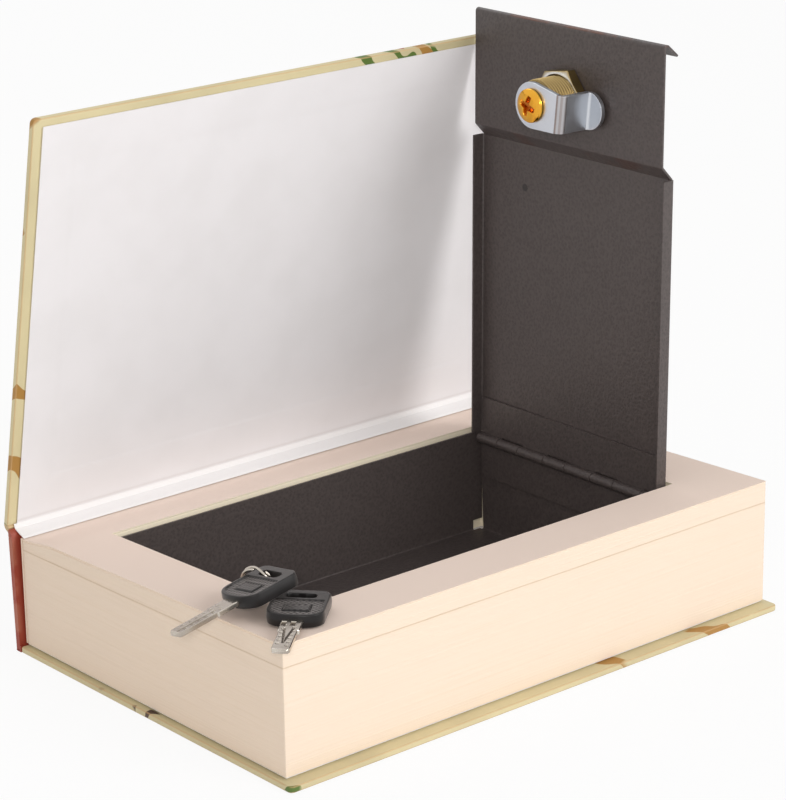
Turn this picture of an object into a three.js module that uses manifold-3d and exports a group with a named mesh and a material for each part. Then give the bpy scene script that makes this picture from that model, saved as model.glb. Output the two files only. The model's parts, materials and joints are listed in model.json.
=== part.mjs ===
// A book safe: a hollow book that holds a folded steel cash box with a hinged, locking lid, and two keys.
// Millimetres, Z up. The origin is under the middle of the closed book, the lid is hinged at the +X end,
// the fore-edge faces -Y and the spine is at +Y. It stands open, as it is when it is shown.
import * as THREE from "three";
import { mergeVertices } from "three/addons/utils/BufferGeometryUtils.js";
import Module from "manifold-3d";

const wasm = await Module();
wasm.setup();

// Fits
const gap = 0.3; // between pieces that rest on each other
const mergeDistance = 1e-4;
const arcSteps = 8;

// Book boards and spine
const bookLength = 240;
const bookDepth = 167.2;
const boardThickness = 2.5;
const boardCornerRadius = 2;
const boardEdgeRound = 0.6;
const backBoardShortfall = 4.2; // the back board ends this far before the spine's outer face
const spineThickness = 2.6;
const spineRise = 2.8; // spine over the pages beside it
const spineBevelDrop = 2.1; // the spine's top edge slopes down towards the pages
const spineTopRound = 0.3;
const jointSheet = 0.4; // covering material where it bends by itself
const backJointWidth = 0.6;

// Paper
const endpaperThickness = 0.4;
const pageEndMargin = 2.4;
const pageForeMargin = 5.5;
const pageSpineMargin = 5.5;
const pageForeHeight = 48.7;
const pageShoulderHeight = 44.6;
const pageShoulderWidth = 23.1;
const pageSpineHeight = 42.1;
const seamForeHeight = 40.1; // the glued lower leaves end here and the upper leaves start
const seamSpineHeight = 37.7;
const backEndpaperInset = 0.6; // the back endpaper ends this far inside the pages
const liningThickness = 0.8;
const foldLap = 0.5; // the first leaf's fold starts over the edge of the pages
const foldRise = 0.8; // and rises by this twice on its way to the front board
const foldInset = 0.4; // the fold's corners lie this far before the spine's faces
const foldTopRise = 0.6; // and its end is this far over the spine
const foldBend = 3;

// Paper left round the cavity
const freeEndRim = 24.4;
const hingeEndRim = 26.8;
const foreRim = 23.2;
const spineRim = 23.3;

// Room between the cavity and the steel box
const freeEndRoom = 0.3;
const hingeEndRoom = 1.8;
const foreRoom = 0.3;
const spineRoom = 1.7;

// Steel box
const sheet = 0.8;
const sheetBend = 1; // radius of a fold at the middle of the sheet
const boxHeight = 43;
const cornerSeam = 0.45;
const seamFoot = 1.7; // the seams at the hinge wall open to this towards the floor
const seamClosed = 10; // and start to open this far below the rim
const cornerRelief = 4.1;
const latchFlangeLength = 9.1;

// Piano hinge
const barrelRadius = 2;
const leafThickness = 0.7;
const leafReach = 17;
const hingeBelowRim = 1.7;
const hingeEndGap = 2.1; // hinge shorter than the lid at each end
const knucklePitch = 27.15;
const fixedKnuckleLength = 12;
const firstKnuckleFromEnd = 17.95;

// Lid
const lidLean = 0.84; // degrees past upright
const lidRimGap = 0.4;
const lidSideGap = 0.3;
const lidEndGap = 1.4;
const joggleDepth = 5;
const joggleRun = 5.15;
const lockPlateLength = 45.75;
const lockPlateMargin = 1.3; // the lock plate is this much narrower than the lid on each side
const lipLength = 8.5;
const lipFold = 130; // degrees
const lidDimple = { along: 108.2, across: 27.7, radius: 1.5, depth: 0.35 };

// Cam lock
const lockFromFreeEnd = 27.9;
const lockHoleRadius = 9.7;
const lockBodyRadius = 9.5;
const lockBodyLength = 15.5;
const lockHeadRadius = 11;
const lockHeadThickness = 2.2;
const lockEdgeRound = 0.6;
const nutAcrossFlats = 22.2;
const nutThickness = 4.5;
const nutHoleRadius = 9.8;
const nutTurn = 8.7; // degrees
const nutChamfer = 1.2;
const plugRadius = 6.3;
const plugSquare = 7.4;
const keywayWidth = 2.8;
const keywayHeight = 8.1;
const keywayDepth = 11;
const camThickness = 1.8;
const camHubRadius = 8.9;
const camWidth = 14.6;
const camWebFromAxis = 15; // to the middle of the web
const camBend = 2.1; // radius of a fold at the middle of the strip
const camTipGap = 6.4; // from the tail's tip to the box's end wall, when locked
const camOverturn = 6; // degrees that the open cam stands past a quarter turn
const camHookGap = 0.5; // from the tail to the latch flange, when locked
const screwHeadRadius = 6.5;
const screwHeadHeight = 2.5;
const screwRimHeight = 1;
const screwShankRadius = 1.9;
const screwShankLength = 7;
const recessWidth = 1.4;
const recessLength = 6.4;
const recessDepth = 1.3;

// Front cover
const coverOpening = 78.46; // degrees from closed
const coverAxisInset = 1.3; // from the spine's outer face
const coverAxisRise = 1.4; // over the pages beside the spine
const coverInnerOffset = 1.778; // from the axis to the pastedown's face
const coverStart = 1.862; // from the axis to the board's edge
const coverShortfall = 3.54; // the front board is this much narrower than the book is deep
const coverFoldLap = 3; // covering glued down over the spine's top edge
const coverFoldOut = 2.5; // how far it reaches past the spine's face
const coverFoldLow = 0.1; // heights of its two corners over the spine
const coverFoldHigh = 0.75;
const coverFoldBend = 0.9;
const pastedownThickness = 0.3;
const pastedownEndMargin = 4;
const pastedownForeMargin = 3;

// Keys
const bowLength = 23;
const bowWidth = 20;
const bowThickness = 4.8;
const bowFront = 6.5; // length of the bow's round front
const bowCorner = 3;
const bowEdgeRound = 0.6;
const bowRim = 2;
const bowRecess = 0.4;
const bowSlotLength = 11;
const bowSlotWidth = 3.8;
const bowSlotFromRear = 5;
const bowPanelLength = 5;
const bowPanelWidth = 9;
const bladeLength = 26;
const bladeWidth = 7.5;
const bladeThickness = 2.2;
const bladeTang = 7;
const bladeTip = 2;
const dimpleRadius = 0.9;
const dimpleDepth = 0.5;
const dimplePitch = 3.4;
const dimpleRows = 1.7; // rows of dimples from the blade's middle line
const ringRadius = 6.1; // to the middle of the wire
const ringWire = 0.45; // radius
const ringTurnGap = 0.45; // between the split ring's two turns

// How the keys lie, as headings, pitches and rolls in degrees, near the cavity's corner
const keyOne = { along: -20.84, across: 7.6, heading: 181.6, pitch: 10.3, roll: 9.9 };
const keyTwo = { along: -13.35, across: -15.03, heading: 221.7, pitch: 0, roll: 0 };
const keyOneSink = 2.3; // key one leans on key two, its front this much below the other's top
const splitRing = { along: -4.59, across: 15.09, rise: 5.5, hang: 1, heading: 21, pitch: 17.5 };

// Heights
const endpaperBottom = boardThickness + gap;
const pageBottom = endpaperBottom + endpaperThickness + gap;
const spineTop = pageBottom + pageSpineHeight + spineRise;

// Edges along X and Y
const halfLength = bookLength / 2;
const spineOuter = bookDepth / 2;
const foreEdge = -bookDepth / 2;
const pageEnd = halfLength - pageEndMargin;
const pageFore = foreEdge + pageForeMargin;
const pageSpine = spineOuter - pageSpineMargin;
const pageShoulder = pageSpine - pageShoulderWidth;
const cavity = {
  x: [-pageEnd + freeEndRim, pageEnd - hingeEndRim],
  y: [pageFore + foreRim, pageSpine - spineRim],
};
const boxOuter = {
  x: [cavity.x[0] + freeEndRoom, cavity.x[1] - hingeEndRoom],
  y: [cavity.y[0] + foreRoom, cavity.y[1] - spineRoom],
};
const boxInner = {
  x: [boxOuter.x[0] + sheet, boxOuter.x[1] - sheet],
  y: [boxOuter.y[0] + sheet, boxOuter.y[1] - sheet],
};
const boxBottom = pageBottom;
const boxRim = boxBottom + boxHeight;

// Hinge and lid, measured from the hinge axis
const hingeX = boxInner.x[1] - gap - barrelRadius;
const hingeZ = boxRim - hingeBelowRim;
const lidY = (boxInner.y[0] + boxInner.y[1]) / 2;
const lidWidth = boxInner.y[1] - boxInner.y[0] - 2 * lidSideGap;
const lidStart = hingeBelowRim + lidRimGap;
const lidEnd = hingeX - boxInner.x[0] - lidEndGap;
const joggleEnd = lidEnd - lockPlateLength;
const joggleStart = joggleEnd - joggleRun;
const lidInner = barrelRadius + gap;
const lockPlateInner = lidInner - joggleDepth;
const lockHeight = lidEnd - lockFromFreeEnd;
const lockPlateWidth = lidWidth - 2 * lockPlateMargin;
const hingeHalf = lidWidth / 2 - hingeEndGap;
const latchTop = hingeZ + lockPlateInner - gap;

// The keys lie on the fore-edge, or are propped up by the ring where the pages rise towards the cavity.
const ringFore = cavity.y[0] + splitRing.across - ringRadius;
const keyRest = pageBottom + gap + Math.max(pageForeHeight, pageHeight(ringFore) + splitRing.hang);

// Cover hinge
const coverAxis = { y: spineOuter - coverAxisInset, z: pageBottom + pageSpineHeight + coverAxisRise };

// Finishes
const finish = (color, roughness, metalness) => new THREE.MeshStandardMaterial({ color, roughness, metalness });
const coverPaper = finish(0xe1d4a5, 0.7, 0);
const spineCloth = finish(0x964132, 0.65, 0);
const whitePaper = finish(0xebe6e6, 0.85, 0);
const pagePaper = finish(0xecdfc8, 0.9, 0);
const paintedSteel = finish(0x4b4442, 0.55, 0.3);
const bareSteel = finish(0x9a9694, 0.35, 1);
const brightZinc = finish(0xb9bec3, 0.3, 1);
const passivatedZinc = finish(0xa58a4a, 0.35, 1);
const goldScrew = finish(0xd79628, 0.3, 1);
const blackPlastic = finish(0x2b2a2b, 0.5, 0);
const nickel = finish(0xc8c4ba, 0.3, 1);

// A closed geometry as a solid that can be joined and cut.
function solidFrom(geometry) {
  const bare = new THREE.BufferGeometry();
  bare.setAttribute("position", geometry.getAttribute("position"));
  bare.setIndex(geometry.index);
  const merged = mergeVertices(bare, mergeDistance);
  const mesh = new wasm.Mesh({
    numProp: 3,
    vertProperties: merged.getAttribute("position").array,
    triVerts: Uint32Array.from(merged.index.array),
  });
  return new wasm.Manifold(mesh);
}

function geometryFrom(solid) {
  const mesh = solid.getMesh();
  const geometry = new THREE.BufferGeometry();
  geometry.setAttribute("position", new THREE.BufferAttribute(mesh.vertProperties, mesh.numProp));
  geometry.setIndex(new THREE.BufferAttribute(mesh.triVerts, 1));
  geometry.computeVertexNormals();
  return geometry;
}

const joined = (geometries) => geometries.map(solidFrom).reduce((all, next) => all.add(next));
const cut = (solid, geometries) => geometries.map(solidFrom).reduce((left, next) => left.subtract(next), solid);

function piece(name, shape, material) {
  const mesh = new THREE.Mesh(shape.isBufferGeometry ? shape : geometryFrom(shape), material);
  mesh.name = name;
  return mesh;
}

const vectors = (points) => points.map(([across, up]) => new THREE.Vector2(across, up));
const outline = (points) => new THREE.Shape(vectors(points));
const rectangle = ([left, right], [low, high]) =>
  outline([[left, low], [right, low], [right, high], [left, high]]);

const xAxis = new THREE.Vector3(1, 0, 0);
const yAxis = new THREE.Vector3(0, 1, 0);
const zAxis = new THREE.Vector3(0, 0, 1);

// An outline carried along one axis. Its two coordinates are the other axes, in the order X, Y, Z.
function prism(shape, axis, [from, to]) {
  const geometry = new THREE.ExtrudeGeometry(shape, {
    depth: to - from,
    bevelEnabled: false,
    curveSegments: arcSteps,
  });
  if (axis === "x") {
    geometry.applyMatrix4(new THREE.Matrix4().makeBasis(yAxis, zAxis, xAxis));
    return geometry.translate(from, 0, 0);
  }
  if (axis === "y") {
    geometry.applyMatrix4(new THREE.Matrix4().makeBasis(xAxis, zAxis, yAxis.clone().negate()));
    return geometry.translate(0, to, 0);
  }
  return geometry.translate(0, 0, from);
}

const block = (x, y, z) => prism(rectangle(x, y), "z", z);

// A flat plate with softened edges, its outline in X and Y.
function softPlate(shape, [from, to], round) {
  const geometry = new THREE.ExtrudeGeometry(shape, {
    depth: to - from - 2 * round,
    bevelEnabled: true,
    bevelThickness: round,
    bevelSize: round,
    bevelOffset: -round,
    bevelSegments: 2,
    curveSegments: 4,
  });
  return geometry.translate(0, 0, from + round);
}

// A rectangle with round corners.
function roundedRectangle([left, right], [low, high], radius) {
  const shape = new THREE.Shape();
  shape.absarc(right - radius, high - radius, radius, 0, Math.PI / 2);
  shape.absarc(left + radius, high - radius, radius, Math.PI / 2, Math.PI);
  shape.absarc(left + radius, low + radius, radius, Math.PI, 1.5 * Math.PI);
  shape.absarc(right - radius, low + radius, radius, 1.5 * Math.PI, 2 * Math.PI);
  return shape;
}

// A path with each corner turned into an arc of the given radius.
function bentPath(corners, radius, steps = 5) {
  const points = vectors(corners);
  const path = [points[0]];
  for (let i = 1; i < points.length - 1; i++) {
    const corner = points[i];
    const back = points[i - 1].clone().sub(corner).normalize();
    const ahead = points[i + 1].clone().sub(corner).normalize();
    const half = Math.acos(back.dot(ahead)) / 2;
    const centre = back.clone().add(ahead).normalize().multiplyScalar(radius / Math.sin(half)).add(corner);
    const start = back.multiplyScalar(radius / Math.tan(half)).add(corner).sub(centre).angle();
    const end = ahead.multiplyScalar(radius / Math.tan(half)).add(corner).sub(centre).angle();
    const turn = THREE.MathUtils.euclideanModulo(end - start + Math.PI, 2 * Math.PI) - Math.PI;
    for (let k = 0; k <= steps; k++) {
      const angle = start + (turn * k) / steps;
      path.push(new THREE.Vector2(Math.cos(angle), Math.sin(angle)).multiplyScalar(radius).add(centre));
    }
  }
  path.push(points.at(-1));
  return path;
}

// The edge-on outline of a sheet whose middle follows a path.
function sheetAlong(path, thickness) {
  const normals = path.slice(1).map((point, i) => {
    const along = point.clone().sub(path[i]).normalize();
    return new THREE.Vector2(-along.y, along.x);
  });
  const side = (sign) =>
    path.map((point, i) => {
      const before = normals[Math.max(i - 1, 0)];
      const after = normals[Math.min(i, normals.length - 1)];
      const mitre = before.clone().add(after).divideScalar(1 + before.dot(after));
      return point.clone().addScaledVector(mitre, (sign * thickness) / 2);
    });
  return new THREE.Shape([...side(1), ...side(-1).reverse()]);
}

// A round piece about X from a profile of [along X, radius] points.
function turned(profile, sides = 32) {
  const points = profile.map(([along, radius]) => new THREE.Vector2(radius, along));
  return new THREE.LatheGeometry(points, sides).rotateZ(-Math.PI / 2);
}

const rod = (x, radius, sides = 24) => turned([[x[0], 0], [x[0], radius], [x[1], radius], [x[1], 0]], sides);

// Book

function backBoard() {
  const plan = roundedRectangle(
    [-halfLength, halfLength],
    [foreEdge, spineOuter - backBoardShortfall],
    boardCornerRadius,
  );
  return piece("back_board", softPlate(plan, [0, boardThickness], boardEdgeRound), coverPaper);
}

// The covering that turns from the back board's edge under the spine board.
function backJoint() {
  const inner = spineOuter - backBoardShortfall + gap;
  const section = outline([
    [inner, 0],
    [spineOuter, 0],
    [spineOuter, jointSheet],
    [inner + backJointWidth, jointSheet],
    [inner + backJointWidth, boardThickness],
    [inner, boardThickness],
  ]);
  return piece("back_joint", prism(section, "x", [-halfLength, halfLength]), spineCloth);
}

function spineBoard() {
  const inner = spineOuter - spineThickness;
  const section = outline([
    [inner, jointSheet + gap],
    [spineOuter, jointSheet + gap],
    [spineOuter, spineTop - spineTopRound],
    [spineOuter - spineTopRound, spineTop],
    [inner, spineTop - spineBevelDrop],
  ]);
  return piece("spine_board", prism(section, "x", [-halfLength, halfLength]), spineCloth);
}

// Height of the paper's top face over its bottom, at a place across the book.
function pageHeight(y) {
  if (y <= pageShoulder) {
    const share = (y - pageFore) / (pageShoulder - pageFore);
    return THREE.MathUtils.lerp(pageForeHeight, pageShoulderHeight, share);
  }
  const share = (y - pageShoulder) / pageShoulderWidth;
  return THREE.MathUtils.lerp(pageShoulderHeight, pageSpineHeight, share * share * (3 - 2 * share));
}

function backEndpaper() {
  const shape = block(
    [-pageEnd + backEndpaperInset, pageEnd - backEndpaperInset],
    [pageFore + backEndpaperInset, pageSpine + liningThickness],
    [endpaperBottom, endpaperBottom + endpaperThickness],
  );
  return piece("back_endpaper", shape, whitePaper);
}

// A stack of leaves with the cavity cut through it.
function leaves(name, section) {
  const stack = solidFrom(prism(section, "x", [-pageEnd, pageEnd]));
  const opening = block(cavity.x, cavity.y, [0, 2 * (pageBottom + pageForeHeight)]);
  return piece(name, cut(stack, [opening]), pagePaper);
}

function lowerPages() {
  const section = outline([
    [pageFore, pageBottom],
    [pageSpine, pageBottom],
    [pageSpine, pageBottom + seamSpineHeight - gap / 2],
    [pageFore, pageBottom + seamForeHeight - gap / 2],
  ]);
  return leaves("lower_pages", section);
}

function upperPages() {
  const crown = [];
  const crownSteps = 8;
  for (let k = 0; k <= crownSteps; k++) {
    const y = THREE.MathUtils.lerp(pageSpine, pageShoulder, k / crownSteps);
    crown.push([y, pageBottom + pageHeight(y)]);
  }
  const section = outline([
    [pageFore, pageBottom + seamForeHeight + gap / 2],
    [pageSpine, pageBottom + seamSpineHeight + gap / 2],
    ...crown,
    [pageFore, pageBottom + pageForeHeight],
  ]);
  return leaves("upper_pages", section);
}

function spineLining() {
  const shape = block(
    [-pageEnd, pageEnd],
    [pageSpine + gap, pageSpine + gap + liningThickness],
    [pageBottom, pageBottom + pageSpineHeight],
  );
  return piece("spine_lining", shape, pagePaper);
}

// The first leaf where it leaves the pages and crosses to the front board.
function endpaperJoint() {
  const top = pageBottom + pageSpineHeight;
  const inner = spineOuter - spineThickness;
  const path = bentPath(
    [
      [pageSpine - foldLap, top + foldRise],
      [inner - foldInset, top + 2 * foldRise],
      [spineOuter - foldInset, spineTop + foldTopRise],
    ],
    foldBend,
  );
  const section = sheetAlong(path, jointSheet);
  return piece("endpaper_joint", prism(section, "x", [-pageEnd, pageEnd]), whitePaper);
}

// The covering where it bends between the spine board and the front board.
function coverJoint() {
  const face = spineOuter + gap + jointSheet / 2;
  const path = bentPath(
    [
      [face, spineTop - coverFoldLap],
      [face, spineTop + coverFoldLow],
      [face + coverFoldOut, spineTop + coverFoldHigh],
    ],
    coverFoldBend,
  );
  const section = sheetAlong(path, jointSheet);
  return piece("cover_joint", prism(section, "x", [-halfLength, halfLength]), coverPaper);
}

// Steel box

// One folded tray: its side walls and end walls meet in open seams over square reliefs in the bottom corners.
function steelBox() {
  const middle = sheet / 2;
  const wallY = [boxOuter.y[0] + middle, boxOuter.y[1] - middle];
  const wallX = [boxOuter.x[0] + middle, boxOuter.x[1] - middle];
  const floorMiddle = boxBottom + middle;
  const troughPath = bentPath(
    [
      [wallY[0], boxRim],
      [wallY[0], floorMiddle],
      [wallY[1], floorMiddle],
      [wallY[1], boxRim],
    ],
    sheetBend,
  );
  const reliefX = [boxInner.x[0] + cornerRelief, boxInner.x[1] - cornerRelief];
  const reliefTop = boxBottom + sheet + cornerRelief;
  const trough = prism(sheetAlong(troughPath, sheet), "x", reliefX);
  const sideWalls = [0, 1].map((side) =>
    block(boxOuter.x, [wallY[side] - middle, wallY[side] + middle], [reliefTop, boxRim]),
  );
  const endWallY = [boxInner.y[0] + cornerSeam, boxInner.y[1] - cornerSeam];
  const floorLap = 2 * cornerRelief;
  const hingeWallPath = bentPath(
    [
      [boxInner.x[1] - floorLap, floorMiddle],
      [wallX[1], floorMiddle],
      [wallX[1], boxRim],
    ],
    sheetBend,
  );
  const openSeams = [-1, 1].map((side) => {
    const wall = side * boxInner.y[(side + 1) / 2];
    const seam = outline([
      [side * (wall - seamFoot), boxBottom],
      [side * (wall + sheet), boxBottom],
      [side * (wall + sheet), boxRim - seamClosed],
      [side * (wall - cornerSeam), boxRim - seamClosed],
    ]);
    return prism(seam, "x", [boxInner.x[1] - sheet, boxOuter.x[1] + sheet]);
  });
  const hingeWall = cut(solidFrom(prism(sheetAlong(hingeWallPath, sheet), "y", endWallY)), openSeams);
  const latchWallPath = bentPath(
    [
      [boxInner.x[0] + floorLap, floorMiddle],
      [wallX[0], floorMiddle],
      [wallX[0], latchTop - middle],
      [boxInner.x[0] + latchFlangeLength, latchTop - middle],
    ],
    sheetBend,
  );
  const latchWall = prism(sheetAlong(latchWallPath, sheet), "y", endWallY);
  const tray = joined([trough, ...sideWalls, latchWall]).add(hingeWall);
  return piece("steel_box", tray, paintedSteel);
}

// Piano hinge, in the plane across its axis: the first number is outwards, the second up along the leaf

const hingeMiddle = barrelRadius - leafThickness / 2;

// Knuckles of the fixed leaf as spans along the hinge, cut off by the hinge's end.
function fixedKnuckles() {
  const spans = [];
  const shortest = 2;
  for (let y = hingeHalf - firstKnuckleFromEnd; y + fixedKnuckleLength / 2 > shortest - hingeHalf; y -= knucklePitch)
    spans.push([Math.max(y - fixedKnuckleLength / 2, -hingeHalf), y + fixedKnuckleLength / 2]);
  return spans;
}

// The moving leaf's knuckles fill what the fixed ones leave.
function movingKnuckles() {
  const edges = [hingeHalf + gap, ...fixedKnuckles().flatMap(([low, high]) => [high, low]), -hingeHalf - gap];
  const spans = [];
  for (let i = 0; i < edges.length; i += 2) {
    const span = [edges[i + 1] + gap, edges[i] - gap];
    if (span[1] - span[0] > 1) spans.push(span);
  }
  return spans;
}

// A leaf with curled knuckles. up is 1 for a leaf that goes up from the axis and -1 for one that goes down.
function hingeLeaf(spans, up) {
  const curl = [];
  const curlSteps = 16;
  const curlTurn = THREE.MathUtils.degToRad(318);
  for (let k = 0; k <= curlSteps; k++) {
    const angle = (-up * curlTurn * k) / curlSteps;
    curl.push(new THREE.Vector2(Math.cos(angle), Math.sin(angle)).multiplyScalar(hingeMiddle));
  }
  const plateFoot = new THREE.Vector2(hingeMiddle, up * leafReach);
  const knuckle = sheetAlong([plateFoot, ...curl], leafThickness);
  const clearance = barrelRadius + gap;
  const plateZ = [up * clearance, up * leafReach].sort((a, b) => a - b);
  const plate = block([barrelRadius - leafThickness, barrelRadius], [-hingeHalf, hingeHalf], plateZ);
  return joined([plate, ...spans.map((span) => prism(knuckle, "y", span))]);
}

// The hinge pin runs along Y.
function hingePin() {
  const radius = barrelRadius - leafThickness - gap;
  const shape = rod([-hingeHalf, hingeHalf], radius, 16).rotateZ(Math.PI / 2);
  return piece("hinge_pin", shape, bareSteel);
}

// Lid: X is outwards, Z goes up along the lid from the hinge axis

function lidPanel() {
  const half = lidWidth / 2;
  const middle = lidInner + sheet / 2;
  const flangeMiddle = half - sheet / 2;
  const channelPath = bentPath(
    [
      [lockPlateInner, -flangeMiddle],
      [middle, -flangeMiddle],
      [middle, flangeMiddle],
      [lockPlateInner, flangeMiddle],
    ],
    sheetBend,
  );
  const channel = prism(sheetAlong(channelPath, sheet), "z", [lidStart, joggleStart]);
  const lip = THREE.MathUtils.degToRad(lipFold);
  const plateMiddle = lockPlateInner + sheet / 2;
  const plateTop = lidEnd - sheet / 2 - sheetBend + sheetBend / Math.tan((Math.PI - lip) / 2);
  const platePath = bentPath(
    [
      [middle, joggleStart - 2 * joggleRun],
      [middle, joggleStart],
      [plateMiddle, joggleEnd],
      [plateMiddle, plateTop],
      [plateMiddle + lipLength * Math.sin(lip), plateTop + lipLength * Math.cos(lip)],
    ],
    sheetBend,
  );
  const plate = prism(sheetAlong(platePath, sheet), "y", [-lockPlateWidth / 2, lockPlateWidth / 2]);
  const hole = rod([lockPlateInner - sheet, lockPlateInner + 2 * sheet], lockHoleRadius, 48).translate(0, 0, lockHeight);
  const dimple = turned(
    [[-lidDimple.depth, 0], [-lidDimple.depth, lidDimple.radius], [0, lidDimple.radius], [lidDimple.depth, 0]],
    12,
  ).translate(lidInner, lidDimple.across, lidDimple.along);
  return piece("lid_panel", cut(joined([channel, plate]), [hole, dimple]), paintedSteel);
}

// Cam lock: X is measured from the lock plate's inner face, and the lock's inside is towards -X

const lockHeadFace = sheet + lockHeadThickness;
const plugEnd = -lockBodyLength - gap;
const camInner = plugEnd - gap;
const camOuter = camInner - camThickness;
const plugBore = plugRadius + gap;
const camReach = lockFromFreeEnd + lidEndGap - camTipGap;

function lockBody() {
  const profile = [
    [-lockBodyLength, plugBore],
    [-lockBodyLength, lockBodyRadius - lockEdgeRound],
    [-lockBodyLength + lockEdgeRound, lockBodyRadius],
    [sheet + gap, lockBodyRadius],
    [sheet + gap, lockHeadRadius],
    [lockHeadFace - lockEdgeRound, lockHeadRadius],
    [lockHeadFace, lockHeadRadius - lockEdgeRound],
    [lockHeadFace, plugBore],
    [-lockBodyLength, plugBore],
  ];
  return piece("lock_body", turned(profile, 48), passivatedZinc);
}

function lockNut() {
  const cornerRadius = nutAcrossFlats / Math.sqrt(3);
  const span = [-gap - nutThickness, -gap];
  const hexagon = turned(
    [[span[0], 0], [span[0], cornerRadius], [span[1], cornerRadius], [span[1], 0]],
    6,
  ).rotateX(THREE.MathUtils.degToRad(30 - nutTurn));
  const flat = nutAcrossFlats / 2;
  const chamfer = turned([
    [span[0], 0],
    [span[0], flat - nutChamfer / 4],
    [span[0] + nutChamfer, cornerRadius + nutChamfer / 2],
    [span[1], cornerRadius + nutChamfer / 2],
    [span[1], 0],
  ]);
  const hole = rod([span[0] - 1, span[1] + 1], nutHoleRadius, 48);
  const blank = solidFrom(hexagon).intersect(solidFrom(chamfer));
  return piece("lock_nut", cut(blank, [hole]), passivatedZinc);
}

// The turning plug: a round barrel with a keyway in its face and a square end that drives the cam.
function lockPlug() {
  const barrel = rod([plugEnd, lockHeadFace], plugRadius, 32);
  const half = plugSquare / 2;
  const square = block([camOuter + gap, plugEnd + 1], [-half, half], [-half, half]);
  const keyway = block(
    [lockHeadFace - keywayDepth, lockHeadFace + 1],
    [-keywayWidth / 2, keywayWidth / 2],
    [-keywayHeight / 2, keywayHeight / 2],
  );
  const screwHole = rod([camOuter - 1, camOuter - gap + screwShankLength + gap], screwShankRadius + gap, 16);
  return piece("lock_plug", cut(joined([barrel, square]), [keyway, screwHole]), brightZinc);
}

// The cam is one strip with two folds. Its tail points to -Y and lies just under the lock plate.
function lockCam() {
  const web = -camWebFromAxis;
  const hubMiddle = camInner - camThickness / 2;
  const tailMiddle = -gap - sheet - camHookGap - camThickness / 2;
  const path = bentPath(
    [
      [hubMiddle, camHubRadius],
      [hubMiddle, web],
      [tailMiddle, web],
      [tailMiddle, -camReach],
    ],
    camBend,
  );
  const strip = prism(sheetAlong(path, camThickness), "z", [-camHubRadius, camHubRadius]);
  const half = camWidth / 2;
  const taper = Math.asin((camHubRadius - half) / camWebFromAxis);
  const plan = new THREE.Shape();
  plan.absarc(0, 0, camHubRadius, -Math.PI / 2 - taper, Math.PI / 2 + taper);
  plan.lineTo(web, half);
  plan.absarc(half - camReach, 0, half, Math.PI / 2, 1.5 * Math.PI);
  plan.lineTo(web, -half);
  const outlineSpan = [camOuter - 1, 0];
  const cam = solidFrom(strip).intersect(solidFrom(prism(plan, "x", outlineSpan)));
  const hole = plugSquare / 2 + gap;
  const squareHole = block([camOuter - 1, camInner + 1], [-hole, hole], [-hole, hole]);
  return piece("lock_cam", cut(cam, [squareHole]), brightZinc);
}

// A pan head with a domed face, a cross recess and a plain shank.
function camScrew() {
  const seat = camOuter - gap;
  const face = seat - screwHeadHeight;
  const profile = [[face, 0]];
  const domeSteps = 5;
  for (let k = 1; k <= domeSteps; k++) {
    const angle = ((Math.PI / 2) * k) / domeSteps;
    const rise = (screwHeadHeight - screwRimHeight) * (1 - Math.cos(angle));
    profile.push([face + rise, screwHeadRadius * Math.sin(angle)]);
  }
  profile.push(
    [seat, screwHeadRadius],
    [seat, screwShankRadius],
    [seat + screwShankLength, screwShankRadius],
    [seat + screwShankLength, 0],
  );
  const slotSpan = [face - 1, face + recessDepth];
  const long = [-recessLength / 2, recessLength / 2];
  const narrow = [-recessWidth / 2, recessWidth / 2];
  const recess = [block(slotSpan, long, narrow), block(slotSpan, narrow, long)];
  return piece("cam_screw", cut(solidFrom(turned(profile)), recess), goldScrew);
}

// Front cover, in the cover's own frame: it lies shut, its axis along X, its inner face down

function frontBoard() {
  const inner = coverInnerOffset + pastedownThickness + gap;
  const width = bookDepth - coverShortfall;
  const plan = roundedRectangle([-halfLength, halfLength], [-coverStart - width, -coverStart], boardCornerRadius);
  return piece("front_board", softPlate(plan, [inner, inner + boardThickness], boardEdgeRound), coverPaper);
}

function frontPastedown() {
  const width = bookDepth - coverShortfall;
  const shape = block(
    [-halfLength + pastedownEndMargin, halfLength - pastedownEndMargin],
    [-coverStart - width + pastedownForeMargin, -coverStart - gap],
    [coverInnerOffset, coverInnerOffset + pastedownThickness],
  );
  return piece("front_pastedown", shape, whitePaper);
}

// Keys: the blade points to +X from the bow's front, and Z is up from the bow's underside

function bowPlan(inset) {
  const side = bowWidth / 2 - inset;
  const rear = bowLength - inset;
  const corner = bowCorner - inset / 2;
  const plan = [];
  const frontSteps = 8;
  for (let k = 0; k <= frontSteps; k++) {
    const angle = Math.PI * (k / frontSteps - 0.5);
    plan.push([-bowFront + (bowFront - inset) * Math.cos(angle), side * Math.sin(angle)]);
  }
  return [
    ...plan,
    [-rear + corner, side],
    [-rear, side - corner],
    [-rear, corner - side],
    [-rear + corner, -side],
  ];
}

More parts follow.
